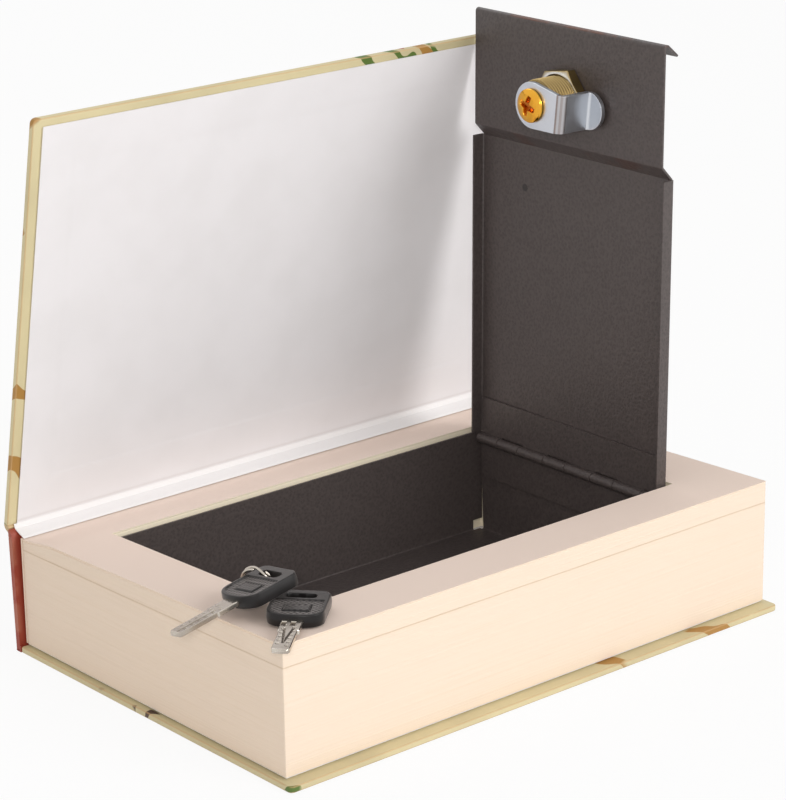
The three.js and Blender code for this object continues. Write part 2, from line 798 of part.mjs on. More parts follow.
// The plastic bow: a slot for the ring, and a shallow recess with a raised panel on each face.
function keyBow(name) {
  const body = solidFrom(softPlate(outline(bowPlan(0)), [0, bowThickness], bowEdgeRound));
  const slotX = bowSlotFromRear - bowLength;
  const slot = prism(
    roundedRectangle(
      [slotX - bowSlotWidth / 2, slotX + bowSlotWidth / 2],
      [-bowSlotLength / 2, bowSlotLength / 2],
      0.49 * bowSlotWidth,
    ),
    "z",
    [-1, bowThickness + 1],
  );
  const tang = block(
    [-bladeTang - gap, 1],
    [-bladeWidth / 2 - gap, bladeWidth / 2 + gap],
    [(bowThickness - bladeThickness) / 2 - gap, (bowThickness + bladeThickness) / 2 + gap],
  );
  const behind = slotX + bowSlotWidth / 2 + bowRim / 2;
  const field = solidFrom(prism(outline(bowPlan(bowRim)), "z", [0, 2 * bowRecess]))
    .intersect(solidFrom(block([behind, 0], [-bowWidth, bowWidth], [0, 2 * bowRecess])));
  const panelX = (behind - bowRim) / 2;
  const panel = solidFrom(
    block(
      [panelX - bowPanelLength / 2, panelX + bowPanelLength / 2],
      [-bowPanelWidth / 2, bowPanelWidth / 2],
      [-1, 1],
    ),
  );
  const recess = field.subtract(panel);
  const bow = cut(body, [slot, tang])
    .subtract(recess.translate([0, 0, bowThickness - bowRecess]))
    .subtract(recess.translate([0, 0, -bowRecess]));
  return piece(name, bow, blackPlastic);
}

// The flat blade has rows of dimples on both faces and a blunt point.
function keyBlade(name) {
  const half = bladeWidth / 2;
  const low = (bowThickness - bladeThickness) / 2;
  const high = low + bladeThickness;
  const plan = outline([
    [-bladeTang, -half],
    [bladeLength - bladeTip, -half],
    [bladeLength, -half + bladeTip],
    [bladeLength, half - bladeTip],
    [bladeLength - bladeTip, half],
    [-bladeTang, half],
  ]);
  const blank = solidFrom(prism(plan, "z", [low, high]));
  const pits = [];
  const firstPit = 2 * bladeTip;
  const rows = [[-dimpleRows, 0], [dimpleRows, dimplePitch / 2]];
  for (const [across, stagger] of rows)
    for (let x = firstPit + stagger; x < bladeLength - bladeTip; x += dimplePitch)
      for (const face of [low, high]) {
        const into = face === low ? 1 : -1;
        const cone = new THREE.ConeGeometry(2 * dimpleRadius, 2 * dimpleDepth, 8);
        pits.push(cone.rotateX((into * Math.PI) / 2).translate(x, across, face));
      }
  return piece(name, cut(blank, pits), nickel);
}

// A key lying near the cavity's corner, nose down by pitch and tipped by roll.
function key(number, { along, across, heading, pitch, roll }, height) {
  const group = new THREE.Group();
  group.add(keyBow(`key_${number}_bow`), keyBlade(`key_${number}_blade`));
  group.position.set(cavity.x[0] + along, cavity.y[0] + across, height);
  const [yaw, nose, tip] = [heading, pitch, roll].map(THREE.MathUtils.degToRad);
  group.rotation.set(tip, nose, yaw, "ZYX");
  return group;
}

// Two turns of wire side by side, with one step between them.
class RingPath extends THREE.Curve {
  getPoint(share, target = new THREE.Vector3()) {
    const turns = 1.9;
    const step = 0.1; // share of the wire over which it changes from one turn to the other
    const angle = turns * 2 * Math.PI * share;
    const side = THREE.MathUtils.smoothstep(share, 0.5 - step / 2, 0.5 + step / 2) - 0.5;
    const pitch = 2 * ringWire + ringTurnGap;
    return target.set(-ringRadius * Math.cos(angle), ringRadius * Math.sin(angle), pitch * side);
  }
}

function keyRing() {
  const section = new THREE.Shape().absarc(0, 0, ringWire, 0, 2 * Math.PI);
  const shape = new THREE.ExtrudeGeometry(section, {
    steps: 64,
    curveSegments: 4,
    extrudePath: new RingPath(),
  });
  const ring = piece("key_ring", shape, nickel);
  const [yaw, tip] = [splitRing.heading, 90 - splitRing.pitch].map(THREE.MathUtils.degToRad);
  ring.position.set(
    cavity.x[0] + splitRing.along,
    cavity.y[0] + splitRing.across,
    keyRest + splitRing.rise,
  );
  ring.rotation.set(0, tip, yaw, "ZYX");
  return ring;
}

// Assembly

const safe = new THREE.Group();
safe.add(
  backBoard(),
  backJoint(),
  spineBoard(),
  backEndpaper(),
  lowerPages(),
  upperPages(),
  spineLining(),
  endpaperJoint(),
  coverJoint(),
  steelBox(),
);

const hinge = new THREE.Group();
hinge.position.set(hingeX, lidY, hingeZ);
hinge.add(piece("hinge_fixed_leaf", hingeLeaf(fixedKnuckles(), -1), paintedSteel), hingePin());

const lid = new THREE.Group();
lid.rotation.y = THREE.MathUtils.degToRad(lidLean);
lid.add(lidPanel(), piece("hinge_moving_leaf", hingeLeaf(movingKnuckles(), 1), paintedSteel));
const lock = new THREE.Group();
lock.position.set(lockPlateInner, 0, lockHeight);
const turning = new THREE.Group();
turning.rotation.x = THREE.MathUtils.degToRad(camOverturn);
turning.add(lockPlug(), lockCam(), camScrew());
lock.add(lockBody(), lockNut(), turning);
lid.add(lock);
hinge.add(lid);
safe.add(hinge);

const cover = new THREE.Group();
cover.position.set(0, coverAxis.y, coverAxis.z);
cover.rotation.x = -THREE.MathUtils.degToRad(coverOpening);
cover.add(frontBoard(), frontPastedown());
safe.add(cover);

safe.add(key(1, keyOne, keyRest + bowThickness - keyOneSink));
safe.add(key(2, keyTwo, keyRest));
safe.add(keyRing());

export default safe;
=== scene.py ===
# A book safe, standing open: a hollow book, a folded steel cash box with a locking lid, and two keys.
# Lengths are written in millimetres and become metres when a mesh is made.
import json
import math

import bmesh
import bpy
import numpy as np
from mathutils import Matrix


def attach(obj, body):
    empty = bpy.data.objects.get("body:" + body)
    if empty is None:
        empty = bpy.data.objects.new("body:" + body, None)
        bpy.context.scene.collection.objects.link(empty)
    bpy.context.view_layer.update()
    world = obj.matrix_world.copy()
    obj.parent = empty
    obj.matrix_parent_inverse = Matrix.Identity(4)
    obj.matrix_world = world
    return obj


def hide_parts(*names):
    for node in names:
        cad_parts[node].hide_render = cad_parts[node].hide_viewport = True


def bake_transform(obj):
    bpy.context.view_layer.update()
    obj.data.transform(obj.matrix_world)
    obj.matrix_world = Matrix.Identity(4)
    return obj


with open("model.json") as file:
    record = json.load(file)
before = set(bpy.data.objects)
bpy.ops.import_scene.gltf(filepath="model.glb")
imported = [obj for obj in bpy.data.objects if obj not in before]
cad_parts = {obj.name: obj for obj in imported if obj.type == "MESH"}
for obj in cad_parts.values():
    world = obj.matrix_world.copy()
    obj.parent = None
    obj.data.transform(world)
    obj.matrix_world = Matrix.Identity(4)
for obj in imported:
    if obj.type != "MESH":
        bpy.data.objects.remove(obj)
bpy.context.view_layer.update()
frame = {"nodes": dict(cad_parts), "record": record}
mm = 0.001
print("frame: loaded", len(frame["nodes"]), "nodes")

# View and light

viewer = {
    "eye": (-676.0, -801.05, 442.42),
    "target": (14.69, 19.84, 84.27),
    "roll": -0.91,  # degrees
    "lens": 133.61,
}

studio = {
    "surround": 0.49,  # light from all round
    "surroundColor": (1.0, 0.985, 0.97),
    "floorSize": 14000,
    "floorDrop": 0.2,
    "floorColor": (0.95, 0.95, 0.95),
    "floorGlow": 0.9,  # share of the floor's own white that the camera sees
    "lamps": [
        {"name": "frontLight", "at": (700, -1900, 1100), "size": 1400, "power": 20.3, "color": (1.0, 1.0, 1.0)},
        {"name": "viewerLight", "at": (-1310, -1520, 905), "size": 260, "power": 11.4, "color": (1.0, 0.97, 0.94)},
        {"name": "backLight", "at": (300, 1500, 1500), "size": 1200, "power": 6, "color": (1.0, 1.0, 1.0)},
    ],
}


def turnMatrix(axis, degrees):  # turn about X, Y or Z, in that axis's own plane
    c, s = math.cos(math.radians(degrees)), math.sin(math.radians(degrees))
    rows = {
        "x": [[1, 0, 0], [0, c, -s], [0, s, c]],
        "y": [[c, 0, s], [0, 1, 0], [-s, 0, c]],
        "z": [[c, -s, 0], [s, c, 0], [0, 0, 1]],
    }
    return np.array(rows[axis], float)


def unit(vectors):
    return vectors / np.linalg.norm(vectors, axis=-1, keepdims=True)


def aimed(obj, eye, target, roll=0.0):  # the object's -Z looks from eye to target, turned by roll
    back = unit(np.array(eye, float) - np.array(target, float))
    right = unit(np.cross((0, 0, 1), back))
    up = np.cross(back, right)
    c, s = math.cos(math.radians(roll)), math.sin(math.radians(roll))
    columns = np.eye(4)
    columns[:3, 0] = right * c + up * s
    columns[:3, 1] = up * c - right * s
    columns[:3, 2] = back
    columns[:3, 3] = np.array(eye, float) * mm
    obj.matrix_world = Matrix(columns)


def place(tree, kind, inputs=None, **settings):  # a shader node, its settings, and what goes into its sockets
    node = tree.nodes.new("ShaderNode" + kind)
    for key, value in settings.items():
        setattr(node, key, value)
    for key, value in (inputs or {}).items():
        if isinstance(value, bpy.types.NodeSocket):
            tree.links.new(value, node.inputs[key])
        else:
            node.inputs[key].default_value = value
    return node


def emptyTree(owner):  # the cleared node tree of a material or a world
    owner.use_nodes = True
    owner.node_tree.nodes.clear()
    return owner.node_tree


def math2(tree, operation, first, second):
    return place(tree, "Math", {0: first, 1: second}, operation=operation).outputs[0]


def times(tree, first, second):
    return math2(tree, "MULTIPLY", first, second)


def lookingRays(tree):  # 1 for what the camera sees, straight on or in metal and glass
    path = place(tree, "LightPath").outputs
    shiny = math2(tree, "MAXIMUM", path["Is Camera Ray"], path["Is Glossy Ray"])
    return math2(tree, "MAXIMUM", shiny, path["Is Transmission Ray"])


def setStudio():
    scene = bpy.context.scene
    scene.view_settings.view_transform = "Standard"
    camera = bpy.data.objects.new("camera", bpy.data.cameras.new("camera"))
    scene.collection.objects.link(camera)
    camera.data.lens = viewer["lens"]
    camera.data.sensor_width = 36
    camera.data.clip_end = 100
    aimed(camera, viewer["eye"], viewer["target"], viewer["roll"])
    scene.camera = camera

    scene.world = bpy.data.worlds.new("studio")
    tree = emptyTree(scene.world)
    surround = {"Color": (*studio["surroundColor"], 1), "Strength": studio["surround"]}
    ambient = place(tree, "Background", surround)
    white = place(tree, "Background", {"Color": (1, 1, 1, 1), "Strength": 1.0})
    mix = place(tree, "MixShader", {0: lookingRays(tree), 1: ambient.outputs[0], 2: white.outputs[0]})
    place(tree, "OutputWorld", {0: mix.outputs[0]})

    for lamp in studio["lamps"]:
        data = bpy.data.lights.new(lamp["name"], "AREA")
        data.shape = "DISK"
        data.size = lamp["size"] * mm
        data.energy = lamp["power"]
        data.color = lamp["color"]
        light = bpy.data.objects.new(lamp["name"], data)
        scene.collection.objects.link(light)
        aimed(light, lamp["at"], viewer["target"])

    half, drop = studio["floorSize"] / 2 * mm, -studio["floorDrop"] * mm
    mesh = bpy.data.meshes.new("floor")
    corners = [(x * half, y * half, drop) for x, y in ((-1, -1), (1, -1), (1, 1), (-1, 1))]
    mesh.from_pydata(corners, [], [(0, 1, 2, 3)])
    floor = bpy.data.objects.new("floor", mesh)
    scene.collection.objects.link(floor)
    material = bpy.data.materials.new("floorWhite")
    tree = emptyTree(material)
    glow = times(tree, lookingRays(tree), studio["floorGlow"])
    diffuse = place(tree, "BsdfDiffuse", {"Color": (*studio["floorColor"], 1)})
    white = place(tree, "Emission", {"Color": (1, 1, 1, 1), "Strength": 1.0})
    mix = place(tree, "MixShader", {0: glow, 1: diffuse.outputs[0], 2: white.outputs[0]})
    place(tree, "OutputMaterial", {0: mix.outputs[0]})
    mesh.materials.append(material)


setStudio()
print("studio: camera, floor and", len(studio["lamps"]), "lamps")

# Finishes

# Each paintedShade colour is painted shade, and on the cam painted reflection, laid where a piece's paintedShade
# mark says.
finishes = {
    "pagePaper": {"top": (0.93, 0.775, 0.68), "edge": (0.90, 0.755, 0.62), "line": (0.80, 0.62, 0.43),
                  "cavity": (0.99, 0.89, 0.70), "glue": (0.62, 0.44, 0.24), "lineShare": 0.16, "glueShare": 0.6},
    "endpaper": {"light": (0.85, 0.83, 0.845), "shade": (0.825, 0.805, 0.817),
                 "fold": (0.91, 0.895, 0.895), "dentAndShade": (0.62, 0.58, 0.57)},
    "coverPaper": {"ground": (0.71, 0.62, 0.37), "warm": 0.86, "rub": (0.55, 0.33, 0.15),
                   "brown": (0.07, 0.035, 0.02), "ochre": (0.42, 0.22, 0.05), "green": (0.10, 0.17, 0.03),
                   "rust": (0.36, 0.07, 0.02)},
    "spineCloth": {"light": (0.40, 0.06, 0.03), "dark": (0.24, 0.033, 0.017), "rub": (0.5, 0.2, 0.12)},
    "hammeredEnamel": {"light": (0.086, 0.069, 0.065), "dark": (0.060, 0.048, 0.046), "bare": (0.13, 0.07, 0.055),
                       "paintedShade": (0.03, 0.025, 0.025)},
    "brightZinc": {"light": (0.73, 0.77, 0.82), "dark": (0.60, 0.64, 0.70), "paintedShade": (0.22, 0.15, 0.12)},
    "yellowZinc": {"light": (0.43, 0.31, 0.13), "dark": (0.21, 0.15, 0.065), "paintedShade": (0.1, 0.06, 0.03)},
    "goldScrew": {"light": (0.95, 0.55, 0.08), "dark": (0.72, 0.32, 0.03), "paintedShade": (0.40, 0.09, 0.02)},
    "blackPlastic": {"light": (0.013, 0.0112, 0.0112), "dark": (0.009, 0.0078, 0.0078), "ribAndHighlight": (0.10, 0.09, 0.087),
                     "paintedShade": (0.002, 0.002, 0.002), "ribScale": 215.0},
    "pale": (0.80, 0.80, 0.77),  # a paler colour for the nut's front face and part of its chamfer
    "nickel": {"light": (0.66, 0.61, 0.54), "dark": (0.38, 0.33, 0.28), "paintedShade": (0.16, 0.12, 0.09)},
}


# A node group. A socket's kind follows from its first value, and fill gives what goes to the outputs.
def newGroup(name, inputs, outputs, fill):
    group = bpy.data.node_groups.new(name, "ShaderNodeTree")
    for label, value in inputs.items():
        kind = "Float" if isinstance(value, float) else "Vector" if len(value) == 3 else "Color"
        group.interface.new_socket(label, in_out="INPUT", socket_type="NodeSocket" + kind).default_value = value
    for label in outputs:
        kind = "Color" if label == "Color" else "Float"
        group.interface.new_socket(label, in_out="OUTPUT", socket_type="NodeSocket" + kind)
    given, out = group.nodes.new("NodeGroupInput").outputs, group.nodes.new("NodeGroupOutput").inputs
    for label, result in zip(outputs, fill(group, given)):
        group.links.new(result, out[label])
    return group


def ramp(tree, value, stops):  # a smooth step from 0 to 1 between two values
    span = {"Value": value, "From Min": stops[0], "From Max": stops[1]}
    return place(tree, "MapRange", span, interpolation_type="SMOOTHSTEP").outputs[0]


def spread(tree, value, low, high):  # a value from 0 to 1 becomes one from low to high
    return place(tree, "MapRange", {"Value": value, "To Min": low, "To Max": high}).outputs[0]


def marked(tree, label):  # what a piece's own attribute says
    return place(tree, "Attribute", attribute_name=label).outputs["Fac"]


def objectPoint(tree):
    return place(tree, "TexCoord").outputs["Object"]


def noise(tree, where, scale, detail, output="Fac"):
    return place(tree, "TexNoise", {"Vector": where, "Scale": scale, "Detail": detail}).outputs[output]


def vector2(tree, operation, first, second):
    return place(tree, "VectorMath", {0: first, 1: second}, operation=operation).outputs[0]


def bandWave(tree, where, scale, way, others):
    wave = {"Vector": where, "Scale": scale, **others}
    return place(tree, "TexWave", wave, wave_type="BANDS", bands_direction=way).outputs["Fac"]


def mixColor(tree, share, first, second):
    def socketValue(c):
        return c if isinstance(c, bpy.types.NodeSocket) else (*c, 1)

    node = place(tree, "Mix", {0: share, 6: socketValue(first), 7: socketValue(second)}, data_type="RGBA")
    return node.outputs[2]


def fineGrain(group, given):  # two sizes of noise, stretched along chosen axes
    stretched = vector2(group, "MULTIPLY", objectPoint(group), given["Stretch"])
    broad = noise(group, stretched, times(group, given["Scale"], 0.06), 2.0)
    return noise(group, stretched, given["Scale"], given["Detail"]), broad


def hammered(group, given):  # enamel: shallow cells pulled about by noise
    where = objectPoint(group)
    centred = vector2(group, "SUBTRACT", noise(group, where, 420.0, 2.0, "Color"), (0.5, 0.5, 0.5))
    wander = place(group, "VectorMath", {0: centred, "Scale": given["Wander"]}, operation="SCALE").outputs[0]
    moved = vector2(group, "ADD", where, wander)
    cells = place(group, "TexVoronoi", {"Vector": moved, "Scale": given["Cells"]}, feature="SMOOTH_F1")
    speckle = times(group, noise(group, where, 1500.0, 2.0), 0.5)
    return math2(group, "ADD", cells.outputs["Distance"], speckle), noise(group, where, 45.0, 3.0)


def edgeWear(group, given):  # marked edges, broken up by noise
    level = math2(group, "SUBTRACT", 1.0, given["Amount"])
    broken = noise(group, objectPoint(group), given["Scale"], 4.0)
    worn = ramp(group, broken, (level, math2(group, "ADD", level, 0.12)))
    return [times(group, marked(group, "edge"), worn)]


strokes = [  # paint, seed, bands in a metre, their warp, and how thin and how rare the strokes are
    ("ochre", 9.0, 24.0, 7.0, 0.80, 0.60),
    ("brown", 26.0, 30.0, 11.0, 0.90, 0.61),
    ("green", 17.0, 38.0, 9.0, 0.86, 0.61),
    ("rust", 3.0, 18.0, 5.0, 0.84, 0.66),
]


def printedStrokes(group, given):  # warped bands and spots that show only in some places
    moved = vector2(group, "ADD", objectPoint(group), given["Shift"])
    color = given["Ground"]
    for paint, seed, bands, warp, thin, rare in strokes:
        offset = vector2(group, "ADD", moved, (seed, 2 * seed, 3 * seed))
        wave = bandWave(group, offset, bands, "DIAGONAL", {"Distortion": warp, "Detail": 2.0, "Detail Scale": 1.2})
        stroke = ramp(group, wave, (thin, thin + 0.03))
        region = ramp(group, noise(group, offset, 16.0, 1.0), (rare + 0.008, rare + 0.02))
        color = mixColor(group, times(group, stroke, region), color, finishes["coverPaper"][paint])
    return [color]


unstretched = (1.0, 1.0, 1.0)
grainInputs = {"Scale": 900.0, "Stretch": unstretched, "Detail": 3.0}
groups = {
    "grain": newGroup("fineGrain", grainInputs, ["Fine", "Broad"], fineGrain),
    "hammer": newGroup("hammered", {"Cells": 850.0, "Wander": 0.0011}, ["Height", "Patch"], hammered),
    "wear": newGroup("edgeWear", {"Amount": 0.5, "Scale": 260.0}, ["Mask"], edgeWear),
    "print": newGroup("printedStrokes", {"Ground": (1, 1, 1, 1), "Shift": (0, 0, 0)}, ["Color"], printedStrokes),
}


def groupNode(tree, name, inputs=None):
    return place(tree, "Group", inputs, node_tree=groups[name]).outputs


def grain(tree, scale, detail, stretch=unstretched):
    return groupNode(tree, "grain", {"Scale": scale, "Stretch": stretch, "Detail": detail})


def wear(tree, amount, scale):
    return groupNode(tree, "wear", {"Amount": amount, "Scale": scale})["Mask"]


def feed(tree, color, rough, height, depth, metal=0.0, **others):  # what the one shader is given, and the relief
    bump = place(tree, "Bump", {"Height": height, "Distance": depth * mm, "Strength": 1.0})
    sockets = {"Base Color": color, "Roughness": rough, "Metallic": metal, "Normal": bump.outputs[0]}
    shader = place(tree, "BsdfPrincipled", {**sockets, **others})
    place(tree, "OutputMaterial", {0: shader.outputs[0]})


def pageFinish(tree, look):
    face = marked(tree, "face")
    leaves = grain(tree, 1.0, 3.0, (14.0, 14.0, 2600.0))["Fine"]
    fibre = grain(tree, 1400.0, 4.0)["Fine"]
    edge = mixColor(tree, ramp(tree, leaves, (0.42, 0.75)), look["edge"], look["line"])
    faint = mixColor(tree, look["lineShare"], look["edge"], edge)
    # The cavity wall's colour is the glued cut's yellowish tint, raised near white as painted light for that shaded
    # wall.
    side = mixColor(tree, marked(tree, "inside"), faint, look["cavity"])
    glue = times(tree, marked(tree, "glue"), look["glueShare"])
    color = mixColor(tree, glue, mixColor(tree, face, side, look["top"]), look["glue"])
    leaves = times(tree, leaves, math2(tree, "SUBTRACT", 1.0, face))
    height = math2(tree, "ADD", leaves, times(tree, fibre, 0.12))
    feed(tree, color, 0.92, height, 0.09, **{"Specular IOR Level": 0.2})


def endpaperFinish(tree, look):
    fibre = grain(tree, 700.0, 4.0)
    color = mixColor(tree, ramp(tree, fibre["Broad"], (0.35, 0.7)), look["light"], look["shade"])
    # fold paints the joint's fold strip lighter, painted light; dentAndShade paints a band beside the crease darker,
    # painted shade.
    for label in ("fold", "dentAndShade"):
        color = mixColor(tree, marked(tree, label), color, look[label])
    feed(tree, color, 0.78, fibre["Fine"], 0.03, **{"Specular IOR Level": 0.25})


def coverFinish(tree, look):
    fibre = grain(tree, 500.0, 4.0)
    warm = tuple(look["warm"] * c for c in look["ground"])
    ground = mixColor(tree, ramp(tree, fibre["Broad"], (0.3, 0.75)), look["ground"], warm)
    printed = groupNode(tree, "print", {"Ground": ground, "Shift": (0.52, 0.4, 0.22)})["Color"]
    color = mixColor(tree, marked(tree, "plain"), printed, ground)
    color = mixColor(tree, marked(tree, "tail"), color, finishes["spineCloth"]["light"])
    rubbed = times(tree, wear(tree, 0.74, 60.0), 0.6)
    feed(tree, mixColor(tree, rubbed, color, look["rub"]), 0.5, fibre["Fine"], 0.03)


def spineFinish(tree, look):
    weave = grain(tree, 420.0, 5.0, (1.0, 1.0, 0.5))
    color = mixColor(tree, ramp(tree, weave["Broad"], (0.3, 0.7)), look["light"], look["dark"])
    rubbed = times(tree, wear(tree, 0.55, 90.0), 0.5)
    feed(tree, mixColor(tree, rubbed, color, look["rub"]), 0.5, weave["Fine"], 0.05)


def steelFinish(tree, look):
    hammer = groupNode(tree, "hammer")
    paint = mixColor(tree, ramp(tree, hammer["Height"], (0.25, 0.95)), look["dark"], look["light"])
    worn = wear(tree, 0.5, 55.0)
    # paintedShade darkens the lid's dimple, painted shade; the worn mask also lightens the joggle band, painted
    # light.
    color = mixColor(tree, marked(tree, "paintedShade"), mixColor(tree, worn, paint, look["bare"]), look["paintedShade"])
    rough = spread(tree, hammer["Patch"], 0.36, 0.52)
    feed(tree, color, rough, hammer["Height"], 0.1, times(tree, worn, 0.7))


def metalFinish(tree, look, rough, depth, scale):
    brushed = grain(tree, scale, 3.0)
    color = mixColor(tree, ramp(tree, brushed["Broad"], (0.3, 0.75)), look["light"], look["dark"])
    color = mixColor(tree, marked(tree, "pale"), color, finishes["pale"])
    rubbed = tuple(min(1.0, 1.15 * c) for c in look["light"])
    color = mixColor(tree, wear(tree, 0.7, 160.0), color, rubbed)
    # paintedShade lays painted shade, and on the cam painted reflection, over the metal.
    color = mixColor(tree, marked(tree, "paintedShade"), color, look["paintedShade"])
    feed(tree, color, spread(tree, brushed["Fine"], 0.75 * rough, 1.3 * rough), brushed["Fine"], depth, 1.0)


def plasticFinish(tree, look):
    cast = grain(tree, 2200.0, 2.0)
    color = mixColor(tree, ramp(tree, cast["Broad"], (0.35, 0.7)), look["light"], look["dark"])
    bands = [bandWave(tree, objectPoint(tree), look["ribScale"], way, {"Distortion": 0.0}) for way in ("X", "Y")]
    # The rib bands raise the relief and paint their crests lighter, a painted highlight.
    ribAndHighlight = times(tree, math2(tree, "MAXIMUM", *bands), marked(tree, "ribbed"))
    color = mixColor(tree, marked(tree, "paintedShade"), mixColor(tree, ribAndHighlight, color, look["ribAndHighlight"]), look["paintedShade"])
    height = math2(tree, "ADD", ribAndHighlight, times(tree, cast["Fine"], 0.06))
    sheen = {"Sheen Weight": 0.3, "Sheen Roughness": 0.4, "Sheen Tint": (1.0, 0.93, 0.9, 1)}
    feed(tree, color, 0.34, height, 0.2, **{"Specular IOR Level": 0.27}, **sheen)


paints = {}
for slotName, name, fill, *numbers in [  # the numbers are a metal's roughness, relief and the size of its grain
    ("page_paper", "pagePaper", pageFinish),
    ("endpaper", "endpaper", endpaperFinish),
    ("cover_paper", "coverPaper", coverFinish),
    ("spine_cloth", "spineCloth", spineFinish),
    ("painted_steel", "hammeredEnamel", steelFinish),
    ("bare_steel", "nickel", metalFinish, 0.35, 0.01, 900.0),
    ("bright_zinc", "brightZinc", metalFinish, 0.33, 0.01, 700.0),
    ("passivated_zinc", "yellowZinc", metalFinish, 0.3, 0.012, 700.0),
    ("gold_screw", "goldScrew", metalFinish, 0.16, 0.008, 700.0),
    ("black_plastic", "blackPlastic", plasticFinish),
    ("key_metal", "nickel", metalFinish, 0.2, 0.008, 1100.0),
]:
    paints[slotName] = bpy.data.materials.new(name)
    fill(emptyTree(paints[slotName]), finishes[name], *numbers)
print("finishes:", len(paints), "materials")

# Mesh helpers


def gridFaces(rows, columns, closeRows, closeColumns):  # each cell joins a row to the next and a column to the next
    row = np.arange(rows if closeRows else rows - 1)[:, None]
    column = np.arange(columns if closeColumns else columns - 1)[None, :]
    nextRow, nextColumn = (row + 1) % rows, (column + 1) % columns
    corners = [(row, column), (row, nextColumn), (nextRow, nextColumn), (nextRow, column)]
    return np.stack([r * columns + c for r, c in corners], -1).reshape(-1, 4).tolist()


def tubeFaces(rows, columns):  # each row is a loop, and the first and the last are capped
    caps = [list(range(columns)), list(range((rows - 1) * columns, rows * columns))]
    return gridFaces(rows, columns, False, True) + caps


def sheetFaces(ny, nx):  # two grids back to back, joined round their rims
    faces = gridFaces(ny, nx, False, False)
    lower = [[i + nx * ny for i in cell[::-1]] for cell in faces]
    rim = [j for j in range(nx)] + [i * nx + nx - 1 for i in range(1, ny)]
    rim += [(ny - 1) * nx + j for j in range(nx - 2, -1, -1)] + [i * nx for i in range(ny - 2, 0, -1)]
    return faces + lower + [[a, b, b + nx * ny, a + nx * ny] for a, b in zip(rim, rim[1:] + rim[:1])]


def ringFaces(rows, columns):  # closed both ways
    return gridFaces(rows, columns, True, True)


def bell(value, width):
    return np.exp(-((value / width) ** 2))


def joined(*parts):  # columns side by side, such as x, y and z
    return np.stack(np.broadcast_arrays(*parts), -1)


def circle(count):
    return np.linspace(0, 2 * np.pi, count, endpoint=False)


def finishPiece(obj, body, slotName, stands, smooth):
    mesh = obj.data
    mesh.materials.clear()
    mesh.materials.append(paints[slotName])
    mesh.shade_smooth()
    mesh.set_sharp_from_angle(angle=math.radians(smooth))
    bpy.context.scene.collection.objects.link(obj)
    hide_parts(*stands)
    if body:
        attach(obj, body)
    return obj


# A mesh from a grid of points in mm, or from two for a sheet. marks are attributes with a value for every point.
def makePiece(name, node, body, slotName, points, facesOf=tubeFaces, marks=None, smooth=32):
    mesh = bpy.data.meshes.new(name)
    mesh.from_pydata((points.reshape(-1, 3) * mm).tolist(), [], facesOf(*points.shape[-3:-1]))
    for label, values in (marks or {}).items():
        attribute = mesh.attributes.new(label, "FLOAT", "POINT")
        attribute.data.foreach_set("value", np.ascontiguousarray(values, np.float32).ravel())
    bm = bmesh.new()
    bm.from_mesh(mesh)
    bmesh.ops.recalc_face_normals(bm, faces=bm.faces)
    bm.to_mesh(mesh)
    bm.free()
    return finishPiece(bpy.data.objects.new(name, mesh), body, slotName, (node,), smooth)


def flatFirst(piece):  # corner normals lean to the larger faces, so that flats stay flat beside their rounded edges
    modifier = piece.modifiers.new("flatFirst", "WEIGHTED_NORMAL")
    modifier.keep_sharp = True
    return piece


softening = {"merge": 0.002, "flat": 0.4, "sharp": 28, "rings": 2, "smooth": 32}  # angles in degrees


# A finer copy of a CAD solid: its flat faces are merged and its sharp edges rounded and marked for wear, and worn
# also gives each face its painted shade.
def softened(name, node, body, slotName, width, worn):
    look = softening
    bm = bmesh.new()
    bm.from_mesh(frame["nodes"][node].data)
    bmesh.ops.remove_doubles(bm, verts=bm.verts, dist=look["merge"] * mm)
    bmesh.ops.dissolve_limit(bm, angle_limit=math.radians(look["flat"]), verts=bm.verts, edges=bm.edges)
    edges = [e for e in bm.edges if e.is_manifold and e.calc_face_angle(0) > math.radians(look["sharp"])]
    edge, paintedShade = bm.faces.layers.float.new("edge"), bm.faces.layers.float.new("paintedShade")
    rounding = {"offset": width * mm, "segments": look["rings"], "profile": 0.5, "clamp_overlap": True}
    made = set(bmesh.ops.bevel(bm, geom=edges, affect="EDGES", **rounding)["faces"])
    bmesh.ops.triangulate(bm, faces=[f for f in bm.faces if len(f.verts) > 4])
    for face in bm.faces:
        face[edge], face[paintedShade] = worn(face.calc_center_median() / mm, face in made)
    mesh = bpy.data.meshes.new(name)
    bm.to_mesh(mesh)
    bm.free()
    return flatFirst(finishPiece(bpy.data.objects.new(name, mesh), body, slotName, (node,), look["smooth"]))


def frameLine(x, y, radii, counts):  # points round a rectangle with round corners, the same count for every size
    nx, ny, arc = counts
    corners = [(x[1], y[0], -1, 1), (x[1], y[1], -1, -1), (x[0], y[1], 1, -1), (x[0], y[0], 1, 1)]
    bends, points = [], []
    for i, ((cx, cy, inX, inY), radius) in enumerate(zip(corners, radii)):
        turn = np.radians(90 * (i - 1) + np.linspace(0, 90, arc))
        centre = np.array([cx + inX * radius, cy + inY * radius])
        bends.append(centre + radius * joined(np.cos(turn), np.sin(turn)))
    for i, bend in enumerate(bends):
        steps = np.linspace(0, 1, (nx if i % 2 else ny) + 1)[1:-1, None]
        points += [bend, bend[-1] + (bends[(i + 1) % 4][0] - bend[-1]) * steps]
    return np.concatenate(points)


